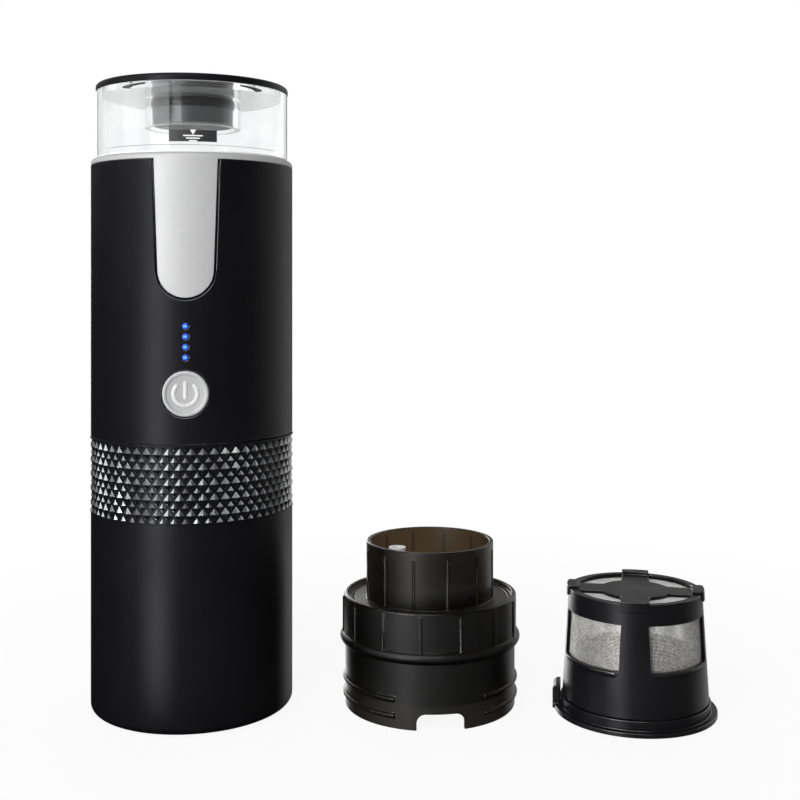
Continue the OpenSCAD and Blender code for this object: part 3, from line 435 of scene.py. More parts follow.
# How upright, how square to the axis, how level and how large a face is, to shade as curved or flat
UPRIGHT_SHARE = 0.3
ROUND_MATCH = 0.994
LEVEL_MATCH = 0.999
FLAT_AREA = 2 * MM * MM


def turned_normals(mesh, axis, edge_slot):
    """Corner normals of a moulding: faces turned round an upright axis shade as one curve, flat ones flat, and the
    rounded edges in edge_slot lead from one to the other."""
    corners = [corner.vector.copy() for corner in mesh.corner_normals]
    for face in mesh.polygons:
        if face.material_index == edge_slot:
            continue
        flat = face.normal.xy
        away = (face.center - axis).xy
        turned = flat.length > UPRIGHT_SHARE and away.length > 0 and flat.dot(away) / (flat.length * away.length)
        for k in face.loop_indices:
            if abs(turned) > ROUND_MATCH:
                ray = (mesh.vertices[mesh.loops[k].vertex_index].co - axis).xy.normalized()
                ray *= math.copysign(flat.length, turned)
                corners[k] = Vector((ray.x, ray.y, face.normal.z))
            elif face.area > FLAT_AREA or abs(face.normal.z) > LEVEL_MATCH:
                corners[k] = face.normal.copy()
    mesh.normals_split_custom_set(corners)


MERGE = 0.03 * MM
COPLANAR = math.radians(0.4)
ROUNDED_FROM = math.radians(35)
SHARP_FROM = math.radians(50)
BODY_SLOT, EDGE_SLOT = 0, 1


def softened(node, width, axis, edge, reshaped):
    """A copy of a CAD node with its moulded edges rounded off, in place of the node. edge is their own finish, if any,
    and reshaped a change to the copy's form."""
    mesh = cad[node].data.copy()
    mesh.materials.append(edge or mesh.materials[0])
    shape = bmesh.new()
    shape.from_mesh(mesh)
    bmesh.ops.remove_doubles(shape, verts=shape.verts, dist=MERGE)
    bmesh.ops.dissolve_limit(shape, angle_limit=COPLANAR, verts=shape.verts, edges=shape.edges)
    if reshaped:
        reshaped(shape)
    shape.to_mesh(mesh)
    shape.free()
    helper = new_object(node + "_edges", mesh)
    bevel = helper.modifiers.new("edges", "BEVEL")
    bevel.width = width * MM
    bevel.segments = 2
    bevel.limit_method = "ANGLE"
    bevel.angle_limit = ROUNDED_FROM
    bevel.use_clamp_overlap = False
    bevel.material = EDGE_SLOT
    rounded = baked(node + "_soft", helper)
    rounded.shade_smooth()
    rounded.set_sharp_from_angle(angle=SHARP_FROM)
    turned_normals(rounded, axis, EDGE_SLOT)
    if not edge:
        rounded.polygons.foreach_set("material_index", [BODY_SLOT] * len(rounded.polygons))
        rounded.materials.pop(index=EDGE_SLOT)
    placed(node + "_soft", rounded, body_of_node[node], slot_of_node[node], node)


# Geometry trees

def grown(name, tree, values, body, slot, *stands_for, seed=None):
    """The piece that a geometry tree makes from its named inputs, and from the seed mesh where it takes one."""
    helper = new_object(name + "_tree", seed or bpy.data.meshes.new(name + "_seed"))
    modifier = helper.modifiers.new("tree", "NODES")
    modifier.node_group = tree
    for item in tree.interface.items_tree:
        if item.item_type == "SOCKET" and item.in_out == "INPUT" and item.name in values:
            modifier[item.identifier] = values[item.name]
    placed(name, baked(name, helper), body, slot, *stands_for)


def ended(g, out, geometry, material, smooth=True):
    """The last nodes of a tree: plain mesh, shading and material."""
    real = g.add("GeometryNodeRealizeInstances", {"Geometry": geometry})
    shaded = g.add("GeometryNodeSetShadeSmooth", {"Geometry": real.outputs[0], "Shade Smooth": smooth})
    clad = g.add("GeometryNodeSetMaterial", {"Geometry": shaded.outputs[0], "Material": material})
    g.put(out["Geometry"], clad.outputs[0])
    return g.tree


def woven(g, across, along, pitch, wire):
    """A flat plain weave, centred: wires along Y pass over and under wires along X."""
    def row(count):
        start = g.product(g.math("SUBTRACT", count, 1), g.product(pitch, -0.5))
        return start, g.product(start, -1)

    x0, x1 = row(across)
    y0, y1 = row(along)
    spot = g.spot()
    column = g.math("ROUND", g.math("DIVIDE", g.math("SUBTRACT", spot["X"], x0), pitch))
    course = g.math("ROUND", g.math("DIVIDE", g.math("SUBTRACT", spot["Y"], y0), pitch))
    parity = g.math("FLOORED_MODULO", g.math("ADD", column, course), 2.0)
    lift = g.product(g.math("SUBTRACT", g.product(parity, 2.0), 1.0), wire)

    def wires(start, end, points, first, step, count, height):
        line = g.add("GeometryNodeCurvePrimitiveLine", {"Start": start, "End": end})
        fine = g.add("GeometryNodeResampleCurve", {"Curve": line.outputs[0], "Count": points})
        spots = g.add("GeometryNodeMeshLine", {"Count": count, "Start Location": first, "Offset": step})
        laid = g.add("GeometryNodeInstanceOnPoints", {"Points": spots.outputs[0], "Instance": fine.outputs[0]})
        real = g.add("GeometryNodeRealizeInstances", {"Geometry": laid.outputs[0]})
        bent = g.add("GeometryNodeSetPosition", {"Geometry": real.outputs[0], "Offset": g.vector(0.0, 0.0, height)})
        return bent.outputs[0]

    warp = wires(g.vector(0.0, y0, 0.0), g.vector(0.0, y1, 0.0), along,
                 g.vector(x0, 0.0, 0.0), g.vector(pitch, 0.0, 0.0), across, lift)
    weft = wires(g.vector(x0, 0.0, 0.0), g.vector(x1, 0.0, 0.0), across,
                 g.vector(0.0, y0, 0.0), g.vector(0.0, pitch, 0.0), along, g.product(lift, -1.0))
    return g.joined(warp, weft)


def as_tubes(g, curves, wire):
    profile = g.add("GeometryNodeCurvePrimitiveCircle", {"Resolution": 4, "Radius": wire})
    return g.add("GeometryNodeCurveToMesh", {
        "Curve": curves, "Profile Curve": profile.outputs[0], "Fill Caps": True,
    }).outputs[0]


def window_screen_tree():
    """Woven screens behind the windows of a tapered basket."""
    g, given, out = shape_group("window_screens", [
        ("Centre", VECTOR), ("Middle Radius", FLOAT), ("Lean", FLOAT), ("Middle Height", FLOAT),
        ("Wires Across", INTEGER), ("Wires Along", INTEGER), ("Pitch", FLOAT), ("Wire", FLOAT), ("Windows", INTEGER),
        ("Turn", FLOAT),
    ])
    flat = woven(g, given["Wires Across"], given["Wires Along"], given["Pitch"], given["Wire"])
    tubes = as_tubes(g, flat, given["Wire"])
    spot = g.spot()
    leaning = g.math("SUBTRACT", given["Middle Radius"], g.product(spot["Y"], given["Lean"]))
    turn = g.math("DIVIDE", spot["X"], given["Middle Radius"])
    wrapped = g.add("GeometryNodeSetPosition", {
        "Geometry": tubes,
        "Position": g.around(g.math("ADD", leaning, spot["Z"]), turn, g.math("ADD", spot["Y"], given["Middle Height"])),
    })
    ring = g.add("GeometryNodePoints", {"Count": given["Windows"], "Position": given["Centre"]})
    between = g.math("DIVIDE", TURN, given["Windows"])
    order = g.math("ADD", g.add("GeometryNodeInputIndex").outputs[0], 0.5)
    around = g.add("GeometryNodeInstanceOnPoints", {
        "Points": ring.outputs[0], "Instance": wrapped.outputs[0],
        "Rotation": g.vector(0.0, 0.0, g.math("ADD", g.product(order, between), given["Turn"])),
    })
    return ended(g, out, around.outputs[0], given["Material"])


def end_screen_tree():
    """A round woven screen."""
    g, given, out = shape_group("end_screen", [
        ("Centre", VECTOR), ("Radius", FLOAT), ("Wires", INTEGER), ("Pitch", FLOAT), ("Wire", FLOAT),
    ])
    flat = woven(g, given["Wires"], given["Wires"], given["Pitch"], given["Wire"])
    spot = g.add("GeometryNodeInputPosition").outputs[0]
    reach = g.add("ShaderNodeVectorMath", {0: spot}, operation="LENGTH").outputs["Value"]
    outside = g.add("FunctionNodeCompare", {0: reach, 1: given["Radius"]}, operation="GREATER_THAN")
    disc = g.add("GeometryNodeDeleteGeometry", {"Geometry": flat, "Selection": outside.outputs[0]})
    tubes = as_tubes(g, disc.outputs[0], given["Wire"])
    seated = g.add("GeometryNodeSetPosition", {"Geometry": tubes, "Offset": given["Centre"]})
    return ended(g, out, seated.outputs[0], given["Material"])


LABEL_INPUTS = [("Radius", FLOAT), ("Height", FLOAT), ("Turn", FLOAT), ("Size", VECTOR)]


def wrapped_on_tank(g, given, out, geometry):
    """Ends a tree of LABEL_INPUTS by bending flat geometry round the tank: X runs round it, Y up and Z outwards."""
    spot = g.spot()
    angle = g.math("ADD", g.math("DIVIDE", spot["X"], given["Radius"]), given["Turn"])
    wall = g.math("ADD", given["Radius"], spot["Z"])
    bent = g.add("GeometryNodeSetPosition", {
        "Geometry": geometry, "Position": g.around(wall, angle, g.math("ADD", spot["Y"], given["Height"])),
    })
    return ended(g, out, bent.outputs[0], given["Material"], smooth=False)


def diamond_knurl_tree():
    """Rows of four-sided pyramids on a given sleeve, large and small by turns. Both end rows are small and cut off."""
    g, given, out = shape_group("diamond_knurl", [
        ("Sleeve", GEOMETRY), ("Columns", INTEGER), ("Rows", INTEGER), ("Radius", FLOAT), ("Foot", FLOAT),
        ("Step", FLOAT), ("Diamond", VECTOR), ("Small Share", FLOAT), ("Sleeve Material", MATERIAL),
    ])
    order = g.add("GeometryNodeInputIndex").outputs[0]
    row = g.math("FLOOR", g.math("DIVIDE", g.math("ADD", order, 0.5), given["Columns"]))
    column = g.math("SUBTRACT", order, g.product(row, given["Columns"]))
    large = g.math("FLOORED_MODULO", row, 2.0)
    turn = g.math("DIVIDE", g.product(g.math("ADD", column, g.product(large, 0.5)), TURN), given["Columns"])
    height = g.math("ADD", given["Foot"], g.product(row, given["Step"]))
    spots = g.add("GeometryNodePoints", {
        "Count": g.product(given["Columns"], given["Rows"]), "Position": g.around(given["Radius"], turn, height),
    })
    share = g.math("ADD", given["Small Share"], g.product(large, g.math("SUBTRACT", 1.0, given["Small Share"])))
    pyramid = g.add("GeometryNodeMeshCone", {
        "Vertices": 4, "Side Segments": 1, "Radius Top": 0.0, "Radius Bottom": 1.0, "Depth": 1.0,
    }, fill_type="NGON")
    size = g.add("ShaderNodeVectorMath", {0: given["Diamond"], "Scale": share}, operation="SCALE").outputs[0]
    studded = g.add("GeometryNodeInstanceOnPoints", {
        "Points": spots.outputs[0], "Instance": pyramid.outputs["Mesh"], "Scale": size,
        "Rotation": g.vector(math.pi / 2, 0.0, turn),
    })
    real = g.add("GeometryNodeRealizeInstances", {"Geometry": studded.outputs[0]})
    spot = g.spot()
    top = g.math("ADD", given["Foot"], g.product(g.math("SUBTRACT", given["Rows"], 1.0), given["Step"]))
    level = g.math("MAXIMUM", given["Foot"], g.math("MINIMUM", top, spot["Z"]))
    cut = g.add("GeometryNodeSetPosition", {
        "Geometry": real.outputs[0], "Position": g.vector(spot["X"], spot["Y"], level),
    })
    flat = g.add("GeometryNodeSetShadeSmooth", {"Geometry": cut.outputs[0], "Shade Smooth": False})
    clad = g.add("GeometryNodeSetMaterial", {"Geometry": flat.outputs[0], "Material": given["Material"]})
    plain = g.add("GeometryNodeSetMaterial", {"Geometry": given["Sleeve"], "Material": given["Sleeve Material"]})
    g.put(out["Geometry"], g.joined(plain.outputs[0], clad.outputs[0]))
    return g.tree


def level_plate_tree():
    """A thin plate bent round the tank."""
    g, given, out = shape_group("level_plate", LABEL_INPUTS)
    slab = g.add("GeometryNodeMeshCube", {"Size": given["Size"], "Vertices X": 33, "Vertices Y": 5, "Vertices Z": 2})
    return wrapped_on_tank(g, given, out, slab.outputs[0])


LINE_WIDTH, LINE_STEP, LINE_SHORTER = 0.11, 0.22, 0.3
WEDGE_REACH, WEDGE_UP = 0.3, 0.36


def level_mark_tree():
    """A water-level sign: a triangle that stands on lines of falling length. Its parts are shares of its height."""
    g, given, out = shape_group("level_mark", LABEL_INPUTS + [("Lines", INTEGER)])
    size = g.add("ShaderNodeSeparateXYZ", {"Vector": given["Size"]}).outputs
    bar = g.add("GeometryNodeMeshCube", {
        "Size": g.vector(size["X"], g.product(size["Y"], LINE_WIDTH), size["Z"]),
        "Vertices X": 17, "Vertices Y": 2, "Vertices Z": 2,
    })
    rows = g.add("GeometryNodeMeshLine", {
        "Count": given["Lines"], "Offset": g.vector(0.0, g.product(size["Y"], -LINE_STEP), 0.0),
    })
    share = g.math("SUBTRACT", 1.0, g.product(g.add("GeometryNodeInputIndex").outputs[0], LINE_SHORTER))
    lines = g.add("GeometryNodeInstanceOnPoints", {
        "Points": rows.outputs[0], "Instance": bar.outputs[0], "Scale": g.vector(share, 1.0, 1.0),
    })
    wedge = g.add("GeometryNodeMeshCylinder", {
        "Vertices": 3, "Side Segments": 1, "Radius": g.product(size["Y"], WEDGE_REACH), "Depth": size["Z"],
    }, fill_type="NGON")
    point_down = g.add("GeometryNodeTransform", {
        "Geometry": wedge.outputs[0], "Rotation": (0.0, 0.0, math.radians(-90)),
        "Translation": g.vector(0.0, g.product(size["Y"], WEDGE_UP), 0.0),
    })
    real = g.add("GeometryNodeRealizeInstances", {"Geometry": lines.outputs[0]})
    return wrapped_on_tank(g, given, out, g.joined(real.outputs[0], point_down.outputs[0]))


def light_lens_tree():
    """A row of low domed lenses."""
    g, given, out = shape_group("light_lenses", [
        ("First", VECTOR), ("Step", VECTOR), ("Count", INTEGER), ("Radius", FLOAT), ("Rise", FLOAT),
    ])
    ball = g.add("GeometryNodeMeshUVSphere", {"Segments": 28, "Rings": 16, "Radius": 1.0})
    spot = g.spot()
    rim = g.math("SQRT", g.math("ADD", g.math("POWER", spot["X"], 2.0), g.math("POWER", spot["Z"], 2.0)))
    toned = g.add("GeometryNodeStoreNamedAttribute", {
        "Geometry": ball.outputs[0], "Name": "dome", "Value": g.math("SUBTRACT", 1.0, rim),
    }, data_type="FLOAT", domain="POINT")
    low = g.add("GeometryNodeTransform", {
        "Geometry": toned.outputs[0], "Scale": g.vector(given["Radius"], given["Rise"], given["Radius"]),
    })
    spots = g.add("GeometryNodeMeshLine", {
        "Count": given["Count"], "Start Location": given["First"], "Offset": given["Step"],
    })
    row = g.add("GeometryNodeInstanceOnPoints", {"Points": spots.outputs[0], "Instance": low.outputs[0]})
    return ended(g, out, row.outputs[0], given["Material"])


def raised_symbol_tree():
    """A raised power sign: an open ring with an upright stroke, both with round ends."""
    g, given, out = shape_group("raised_symbol", [
        ("Centre", VECTOR), ("Ring Radius", FLOAT), ("Opening", FLOAT), ("Stroke Low", FLOAT), ("Stroke High", FLOAT),
        ("Half Width", FLOAT), ("Rise", FLOAT),
    ])
    half_open = g.product(given["Opening"], 0.5)
    ring = g.add("GeometryNodeCurveArc", {
        "Resolution": 96, "Radius": given["Ring Radius"], "Start Angle": g.math("ADD", math.pi / 2, half_open),
        "Sweep Angle": g.math("SUBTRACT", TURN, given["Opening"]),
    }, mode="RADIUS")
    stroke = g.add("GeometryNodeCurvePrimitiveLine", {
        "Start": g.vector(0.0, given["Stroke Low"], 0.0), "End": g.vector(0.0, given["Stroke High"], 0.0),
    })
    fine = g.add("GeometryNodeResampleCurve", {
        "Curve": g.joined(ring.outputs[0], stroke.outputs[0]), "Length": g.product(given["Half Width"], 0.16),
    }, mode="LENGTH")
    along = g.add("GeometryNodeSplineParameter").outputs["Length"]
    whole = g.add("GeometryNodeSplineLength").outputs["Length"]
    to_end = g.math("MINIMUM", along, g.math("SUBTRACT", whole, along))
    inward = g.math("SUBTRACT", 1.0, g.math("MINIMUM", 1.0, g.math("DIVIDE", to_end, given["Half Width"])))
    taper = g.math("SQRT", g.math("MAXIMUM", 0.003, g.math("SUBTRACT", 1.0, g.math("POWER", inward, 2.0))))
    section = g.add("GeometryNodeCurvePrimitiveCircle", {"Resolution": 12, "Radius": given["Half Width"]})
    bars = g.add("GeometryNodeCurveToMesh", {
        "Curve": fine.outputs[0], "Profile Curve": section.outputs[0], "Scale": taper, "Fill Caps": True,
    })
    spot = g.spot()
    flat = g.product(spot["Z"], g.math("DIVIDE", given["Rise"], given["Half Width"]))
    upright = g.add("GeometryNodeSetPosition", {
        "Geometry": bars.outputs[0], "Position": g.vector(spot["X"], g.product(flat, -1.0), spot["Y"]),
    })
    set_in = g.add("GeometryNodeSetPosition", {"Geometry": upright.outputs[0], "Offset": given["Centre"]})
    return ended(g, out, set_in.outputs[0], given["Material"])


# Screens and windows of the basket

PITCH, WIRE = 0.45 * MM, 0.09 * MM
WEAVE_HALF = 2.2 * WIRE
WINDOWS = 4
# Corners of the CAD windows, the ridge below them, and how far the CAD screen reaches past them
WINDOW_ROUND = 1.5 * MM
SILL = 2.1 * MM
SCREEN_OVER = 3.5 * MM
# How far the foot and the head of a window are lifted
FOOT_RISE, HEAD_RISE = 2.8 * MM, 3.0 * MM
# What a woven screen covers: round the basket, and of the CAD screen's height
SCREEN_ARC = math.radians(72)
SCREEN_SHARE = 0.78
CORNER_GAP = 0.05 * MM
side_low, side_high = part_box("basket_side_mesh")
side_h = side_high.z - side_low.z
foot_r = radius_at("basket_side_mesh", basket_mid, False)
head_r = radius_at("basket_side_mesh", basket_mid, True)
lean = (foot_r - head_r) / side_h
window_foot, window_head = side_low.z + SCREEN_OVER, side_high.z - SCREEN_OVER
mid_rise = (FOOT_RISE + HEAD_RISE) / 2
screen_r = (foot_r + head_r) / 2 - WEAVE_HALF - lean * mid_rise
# Heights on the frame, each with its lift
RISES = [
    (window_foot / 2, 0.0), (window_foot - SILL, FOOT_RISE), (window_foot, FOOT_RISE), (window_head, HEAD_RISE),
    (basket_mid.z, 0.0),
]


def window_spots(shape):
    """Each point of the basket's frame with its way from the axis, the window it is nearest and its place across that,
    and half the width of a window."""
    facing = [basket_turn + (k + 0.5) * TURN / WINDOWS for k in range(WINDOWS)]
    outward = [Vector((math.sin(a), -math.cos(a))) for a in facing]
    spots = []
    for v in shape.verts:
        away = (v.co - basket_mid).xy
        ahead = max(outward, key=away.dot)
        spots.append((v, away, ahead, away.dot(ahead.orthogonal())))
    arc_end = window_foot + WINDOW_ROUND
    return spots, max(abs(across) for v, _, _, across in spots if abs(v.co.z - arc_end) < LEVEL_GAP)


def posts_smoothed(spots, half_width):
    """Takes the sill off the posts, so that it runs under the windows alone."""
    foot_edge = max(away.length for v, away, _, _ in spots if abs(v.co.z - window_foot) < LEVEL_GAP)
    for v, away, _, across in spots:
        if window_foot - SILL < v.co.z < window_foot and abs(across) > half_width:
            out = away * (foot_edge - lean * (v.co.z - window_foot)) / away.length
            v.co = (basket_mid.x + out.x, basket_mid.y + out.y, v.co.z)


def windows_squared(spots, half_width):
    """Draws the round corners of the basket's windows out to square ones, along its leaning wall."""
    arc_end = window_foot + WINDOW_ROUND
    inner = half_width - WINDOW_ROUND
    for v, away, ahead, across in spots:
        centre_z = min(max(v.co.z, arc_end), window_head - WINDOW_ROUND)
        aside, rise = abs(across) - inner, v.co.z - centre_z
        if aside > 0 and rise and abs(math.hypot(aside, rise) - WINDOW_ROUND) < CORNER_GAP:
            reach = WINDOW_ROUND / max(aside, abs(rise))
            z = centre_z + rise * reach
            wall = away.length - lean * (z - v.co.z)
            across = math.copysign(inner + aside * reach, across)
            place = ahead * math.sqrt(wall ** 2 - across ** 2) + ahead.orthogonal() * across
            v.co = (basket_mid.x + place.x, basket_mid.y + place.y, z)


def windows_raised(shape):
    """Lifts the windows of the basket's frame, with their sill, along its leaning wall."""
    spots, half_width = window_spots(shape)
    posts_smoothed(spots, half_width)
    windows_squared(spots, half_width)
    for v in shape.verts:
        for (low, start), (high, end) in zip(RISES, RISES[1:]):
            if low <= v.co.z < high:
                rise = start + (end - start) * (v.co.z - low) / (high - low)
                away = (v.co - basket_mid).xy
                away *= 1 - lean * rise / away.length
                v.co = (basket_mid.x + away.x, basket_mid.y + away.y, v.co.z + rise)
                break


grown("basket_window_screens", window_screen_tree(), {
    "Centre": (basket_mid.x, basket_mid.y, 0.0), "Middle Radius": screen_r, "Lean": lean,
    "Middle Height": (side_low.z + side_high.z) / 2 + mid_rise, "Wires Across": int(screen_r * SCREEN_ARC / PITCH),
    "Wires Along": int(SCREEN_SHARE * side_h / PITCH), "Pitch": PITCH, "Wire": WIRE, "Windows": WINDOWS,
    "Turn": basket_turn, "Material": wire_steel,
}, "basket", "steel", "basket_side_mesh")
end_low, end_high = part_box("basket_end_mesh")
end_r = (end_high.x - end_low.x) / 2
grown("basket_end_screen", end_screen_tree(), {
    "Centre": tuple(basket_mid), "Radius": end_r - WIRE, "Wires": int(2 * end_r / PITCH), "Pitch": PITCH, "Wire": WIRE,
    "Material": end_steel,
}, "basket", "steel", "basket_end_mesh")


# Turned forms

TURNED_SHARP = math.radians(40)


def circle(count):
    """Sine and cosine of even steps round a circle."""
    return [(math.sin(TURN * k / count), math.cos(TURN * k / count)) for k in range(count)]


def bridged(shape, rings):
    """Faces between each ring of points and the next."""
    for a, b in zip(rings, rings[1:]):
        for k in range(len(a)):
            n = (k + 1) % len(a)
            shape.faces.new((a[k], a[n], b[n], b[k]))


def turned_mesh(name, shape):
    """The mesh of a turned form, facing outwards, with its edges sharp."""
    bmesh.ops.recalc_face_normals(shape, faces=shape.faces)
    mesh = bpy.data.meshes.new(name)
    shape.to_mesh(mesh)
    shape.free()
    mesh.shade_smooth()
    mesh.set_sharp_from_angle(angle=TURNED_SHARP)
    return mesh


# Grip band

def turned_sleeve(name, outline, steps):
    """A closed ring round the Z axis with a given outline of radii and heights."""
    shape = bmesh.new()
    rings = [[shape.verts.new((r * s, -r * c, z)) for s, c in circle(steps)] for r, z in outline]
    bridged(shape, rings + rings[:1])
    return turned_mesh(name, shape)


# Heights and angles of the CAD band that are nearer than this are one
LEVEL_STEP = 0.05 * MM
COLUMN_STEP_DEG = 0.2
LARGE_SHARE, SMALL_SHARE = 0.83, 0.72
DIAMOND_RISE = 0.74 * MM
DIAMOND_INSET = 0.05 * MM
SLEEVE_EDGE = 0.1 * MM
band_low, band_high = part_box("grip_band")
band_points = cad["grip_band"].data.vertices
band_levels = distinct((v.co.z for v in band_points), LEVEL_STEP)
band_foot, band_head = band_levels[1], band_levels[-2]
band_rows = len(band_levels) - 2
band_step = (band_head - band_foot) / (band_rows - 1)
foot_angles = (math.degrees(math.atan2(v.co.y, v.co.x)) for v in band_points if abs(v.co.z - band_low.z) < LEVEL_GAP)
band_columns = len(distinct(foot_angles, COLUMN_STEP_DEG)) // 2
band_in_r = min(math.hypot(v.co.x, v.co.y) for v in band_points)
band_r = band_high.x
column_half = math.pi * band_r / band_columns
diamond = Vector((LARGE_SHARE * column_half, LARGE_SHARE * band_step, DIAMOND_RISE))
band_floor_r = band_r - DIAMOND_INSET - diamond.z
sleeve = turned_sleeve("grip_band_sleeve", [
    (band_in_r, band_low.z), (band_r - SLEEVE_EDGE, band_low.z), (band_r, band_low.z + SLEEVE_EDGE),
    (band_r, band_foot), (band_floor_r, band_foot), (band_floor_r, band_head), (band_r, band_head),
    (band_r, band_high.z - SLEEVE_EDGE), (band_r - SLEEVE_EDGE, band_high.z), (band_in_r, band_high.z),
], 2 * band_columns)
grown("grip_band_diamonds", diamond_knurl_tree(), {
    "Columns": band_columns, "Rows": band_rows, "Radius": band_floor_r, "Foot": band_foot, "Step": band_step,
    "Diamond": diamond, "Small Share": SMALL_SHARE, "Sleeve Material": satin_black, "Material": band_black,
}, "cup", "gloss_black", "grip_band", seed=sleeve)


# Level plate and sign on the tank

PLATE_UP = 5.2 * MM
PLATE_GAP = 0.08 * MM
plate_size = Vector((15.6 * MM, 3.8 * MM, 0.12 * MM))
mark_size = Vector((6.4 * MM, plate_size.y, 0.06 * MM))
plate_r = tank_r + PLATE_GAP
plate_place = {"Height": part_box("trim_collar")[1].z + PLATE_UP, "Turn": math.radians(4.0)}
grown("level_plate", level_plate_tree(), {
    "Radius": plate_r, **plate_place, "Size": plate_size, "Material": plate_dark,
}, "head", "satin_black")
grown("level_mark", level_mark_tree(), {
    "Radius": plate_r + plate_size.z, **plate_place, "Size": mark_size, "Lines": 3, "Material": mark_white,
}, "head", "pale_silicone")


# Charge lights

chips_low, chips_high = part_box("light_chips")
chip_h = chips_high.x - chips_low.x
LIGHTS = 4
LENS_R, LENS_RISE = 1.05 * MM, 0.22 * MM
light_step = (chips_high.z - chips_low.z - chip_h) / (LIGHTS - 1)
pipe_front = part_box("light_pipe")[0].y
grown("light_lenses", light_lens_tree(), {
    "First": (0.0, pipe_front, chips_low.z + chip_h / 2), "Step": (0.0, 0.0, light_step), "Count": LIGHTS,
    "Radius": LENS_R, "Rise": LENS_RISE, "Material": lens_blue,
}, "head", "light_blue")


# Power button

BUTTON_EDGE, BUTTON_RIM, DISH = 0.55 * MM, 1.6 * MM, 0.5 * MM
BUTTON_STEPS, EDGE_STEPS, SLOPE_STEPS = 96, 6, 9
RIM_FLAT = 0.35
TAB_H, TAB_T = 5.0 * MM, 1.0 * MM


def turned_button(name):
    """The button as a turned piece: round outer edge, raised rim, soft slope into the dish, and its stop tabs."""
    face, back = button_low.y, button_high.y
    inner_r = button_r - BUTTON_EDGE
    outline = [(button_r, back)]
    for a in (math.radians(90 * i / EDGE_STEPS) for i in range(EDGE_STEPS + 1)):
        outline.append((inner_r + BUTTON_EDGE * math.cos(a), face + BUTTON_EDGE - BUTTON_EDGE * math.sin(a)))
    for t in (i / SLOPE_STEPS for i in range(1, SLOPE_STEPS + 1)):
        ease = t * t * (3 - 2 * t)
        outline.append((inner_r - (BUTTON_RIM - BUTTON_EDGE) * (RIM_FLAT + (1 - RIM_FLAT) * t), face + DISH * ease))
    shape = bmesh.new()
    rings = [
        [shape.verts.new((r * s, y, button_mid.z + r * c)) for s, c in circle(BUTTON_STEPS)] for r, y in outline
    ]
    bridged(shape, rings)
    shape.faces.new(rings[0])
    # The dish floor takes the second slot, the darker silver that paints the recess's shade
    shape.faces.new(rings[-1]).material_index = 1
    tabs = bmesh.ops.create_cube(shape, size=1.0)["verts"]
    bmesh.ops.transform(shape, verts=tabs, matrix=Matrix.Translation((0, back - TAB_T / 2, button_mid.z))
                        @ Matrix.Diagonal((button_high.x - button_low.x, TAB_T, TAB_H, 1)))
    mesh = turned_mesh(name, shape)
    mesh.materials.append(silver)
    mesh.materials.append(shaded_dish_silver)
    placed(name, mesh, "button", "silver_satin", "power_button")


turned_button("power_button_face")
grown("power_symbol", raised_symbol_tree(), {
    "Centre": (0.0, button_low.y + DISH, button_mid.z), "Ring Radius": 3.85 * MM, "Opening": math.radians(78),
    "Stroke Low": -2.0 * MM, "Stroke High": 4.2 * MM, "Half Width": 0.74 * MM, "Rise": 0.32 * MM,
    "Material": lit_symbol_silver,
}, "button", "silver_satin")


# Mouldings with rounded edges

machine_mid = Vector()
holder_mid = middle("holder_chamber")
for node, width, axis, edge, reshaped in (
    ("upper_housing", 0.3, machine_mid, housing_edge, None),
    ("basket_frame", 0.2, basket_mid, basket_edge, windows_raised),
    ("trim_collar", 0.18, machine_mid, None, None),
    ("lid_cap", 0.2, machine_mid, None, None),
    ("holder_ring", 0.25, holder_mid, smoke_edge, None),
    ("holder_chamber", 0.25, holder_mid, smoke_edge, None),
    ("basket_end_cross", 0.2, basket_mid, basket_edge, None),
    ("basket_lid", 0.2, basket_mid, basket_edge, None),
):
    softened(node, width, axis, edge, reshaped)


# Studio

def seen_rays(g):
    """The kinds of ray, and a mask of those that the eye sends, straight or through a clear piece."""
    path = g.add("ShaderNodeLightPath").outputs
    return path, g.math("MAXIMUM", path["Is Camera Ray"], path["Is Transmission Ray"])


def studio_paper():
    """Pale glossy paper: white to the eye, a little less where the object shades it; it mirrors what skims it."""
    material, g, _ = new_finish("studio_paper")
    material.node_tree.nodes.clear()
    path, seen = seen_rays(g)
    place = g.add("ShaderNodeTexCoord").outputs["Object"]
    reach = g.add("ShaderNodeVectorMath", {0: place}, operation="LENGTH").outputs["Value"]
    glow = g.product(seen, g.scaled_range(reach, 0.91, 1.0, 0.1, 0.3))
    skim = g.add("ShaderNodeLayerWeight", {"Blend": 0.5}).outputs["Facing"]
    spot = g.add("ShaderNodeSeparateXYZ", {"Vector": place}).outputs
    front = g.scaled_range(spot["Y"], 1.0, 0.0, -0.09, -0.05)
    right = g.scaled_range(spot["X"], 0.0, 1.0, -0.06, -0.03)
    sheen = g.product(g.math("MAXIMUM", front, right), g.scaled_range(skim, 0.0, 1.0, 0.42, 0.66))
    matt = g.add("ShaderNodeBsdfDiffuse", {"Color": (0.88, 0.88, 0.88, 1.0)})
    dark = g.add("ShaderNodeBsdfDiffuse", {"Color": (0.02, 0.02, 0.02, 1.0)})
    mirror = g.add("ShaderNodeBsdfGlossy", {"Color": (0.9, 0.9, 0.9, 1.0), "Roughness": 0.03})
    white = g.add("ShaderNodeEmission", {"Color": WHITE, "Strength": 1.0})
    skimmed = g.add("ShaderNodeMixShader", {0: sheen, 1: dark.outputs[0], 2: mirror.outputs[0]})
    plain = g.add("ShaderNodeMixShader", {0: path["Is Glossy Ray"], 1: matt.outputs[0], 2: skimmed.outputs[0]})
    mixed = g.add("ShaderNodeMixShader", {0: glow, 1: plain.outputs[0], 2: white.outputs[0]})
    g.add("ShaderNodeOutputMaterial", {"Surface": mixed.outputs[0]})
    return material


FLOOR_HALF = 4.0
FLOOR_GAP = 0.2 * MM


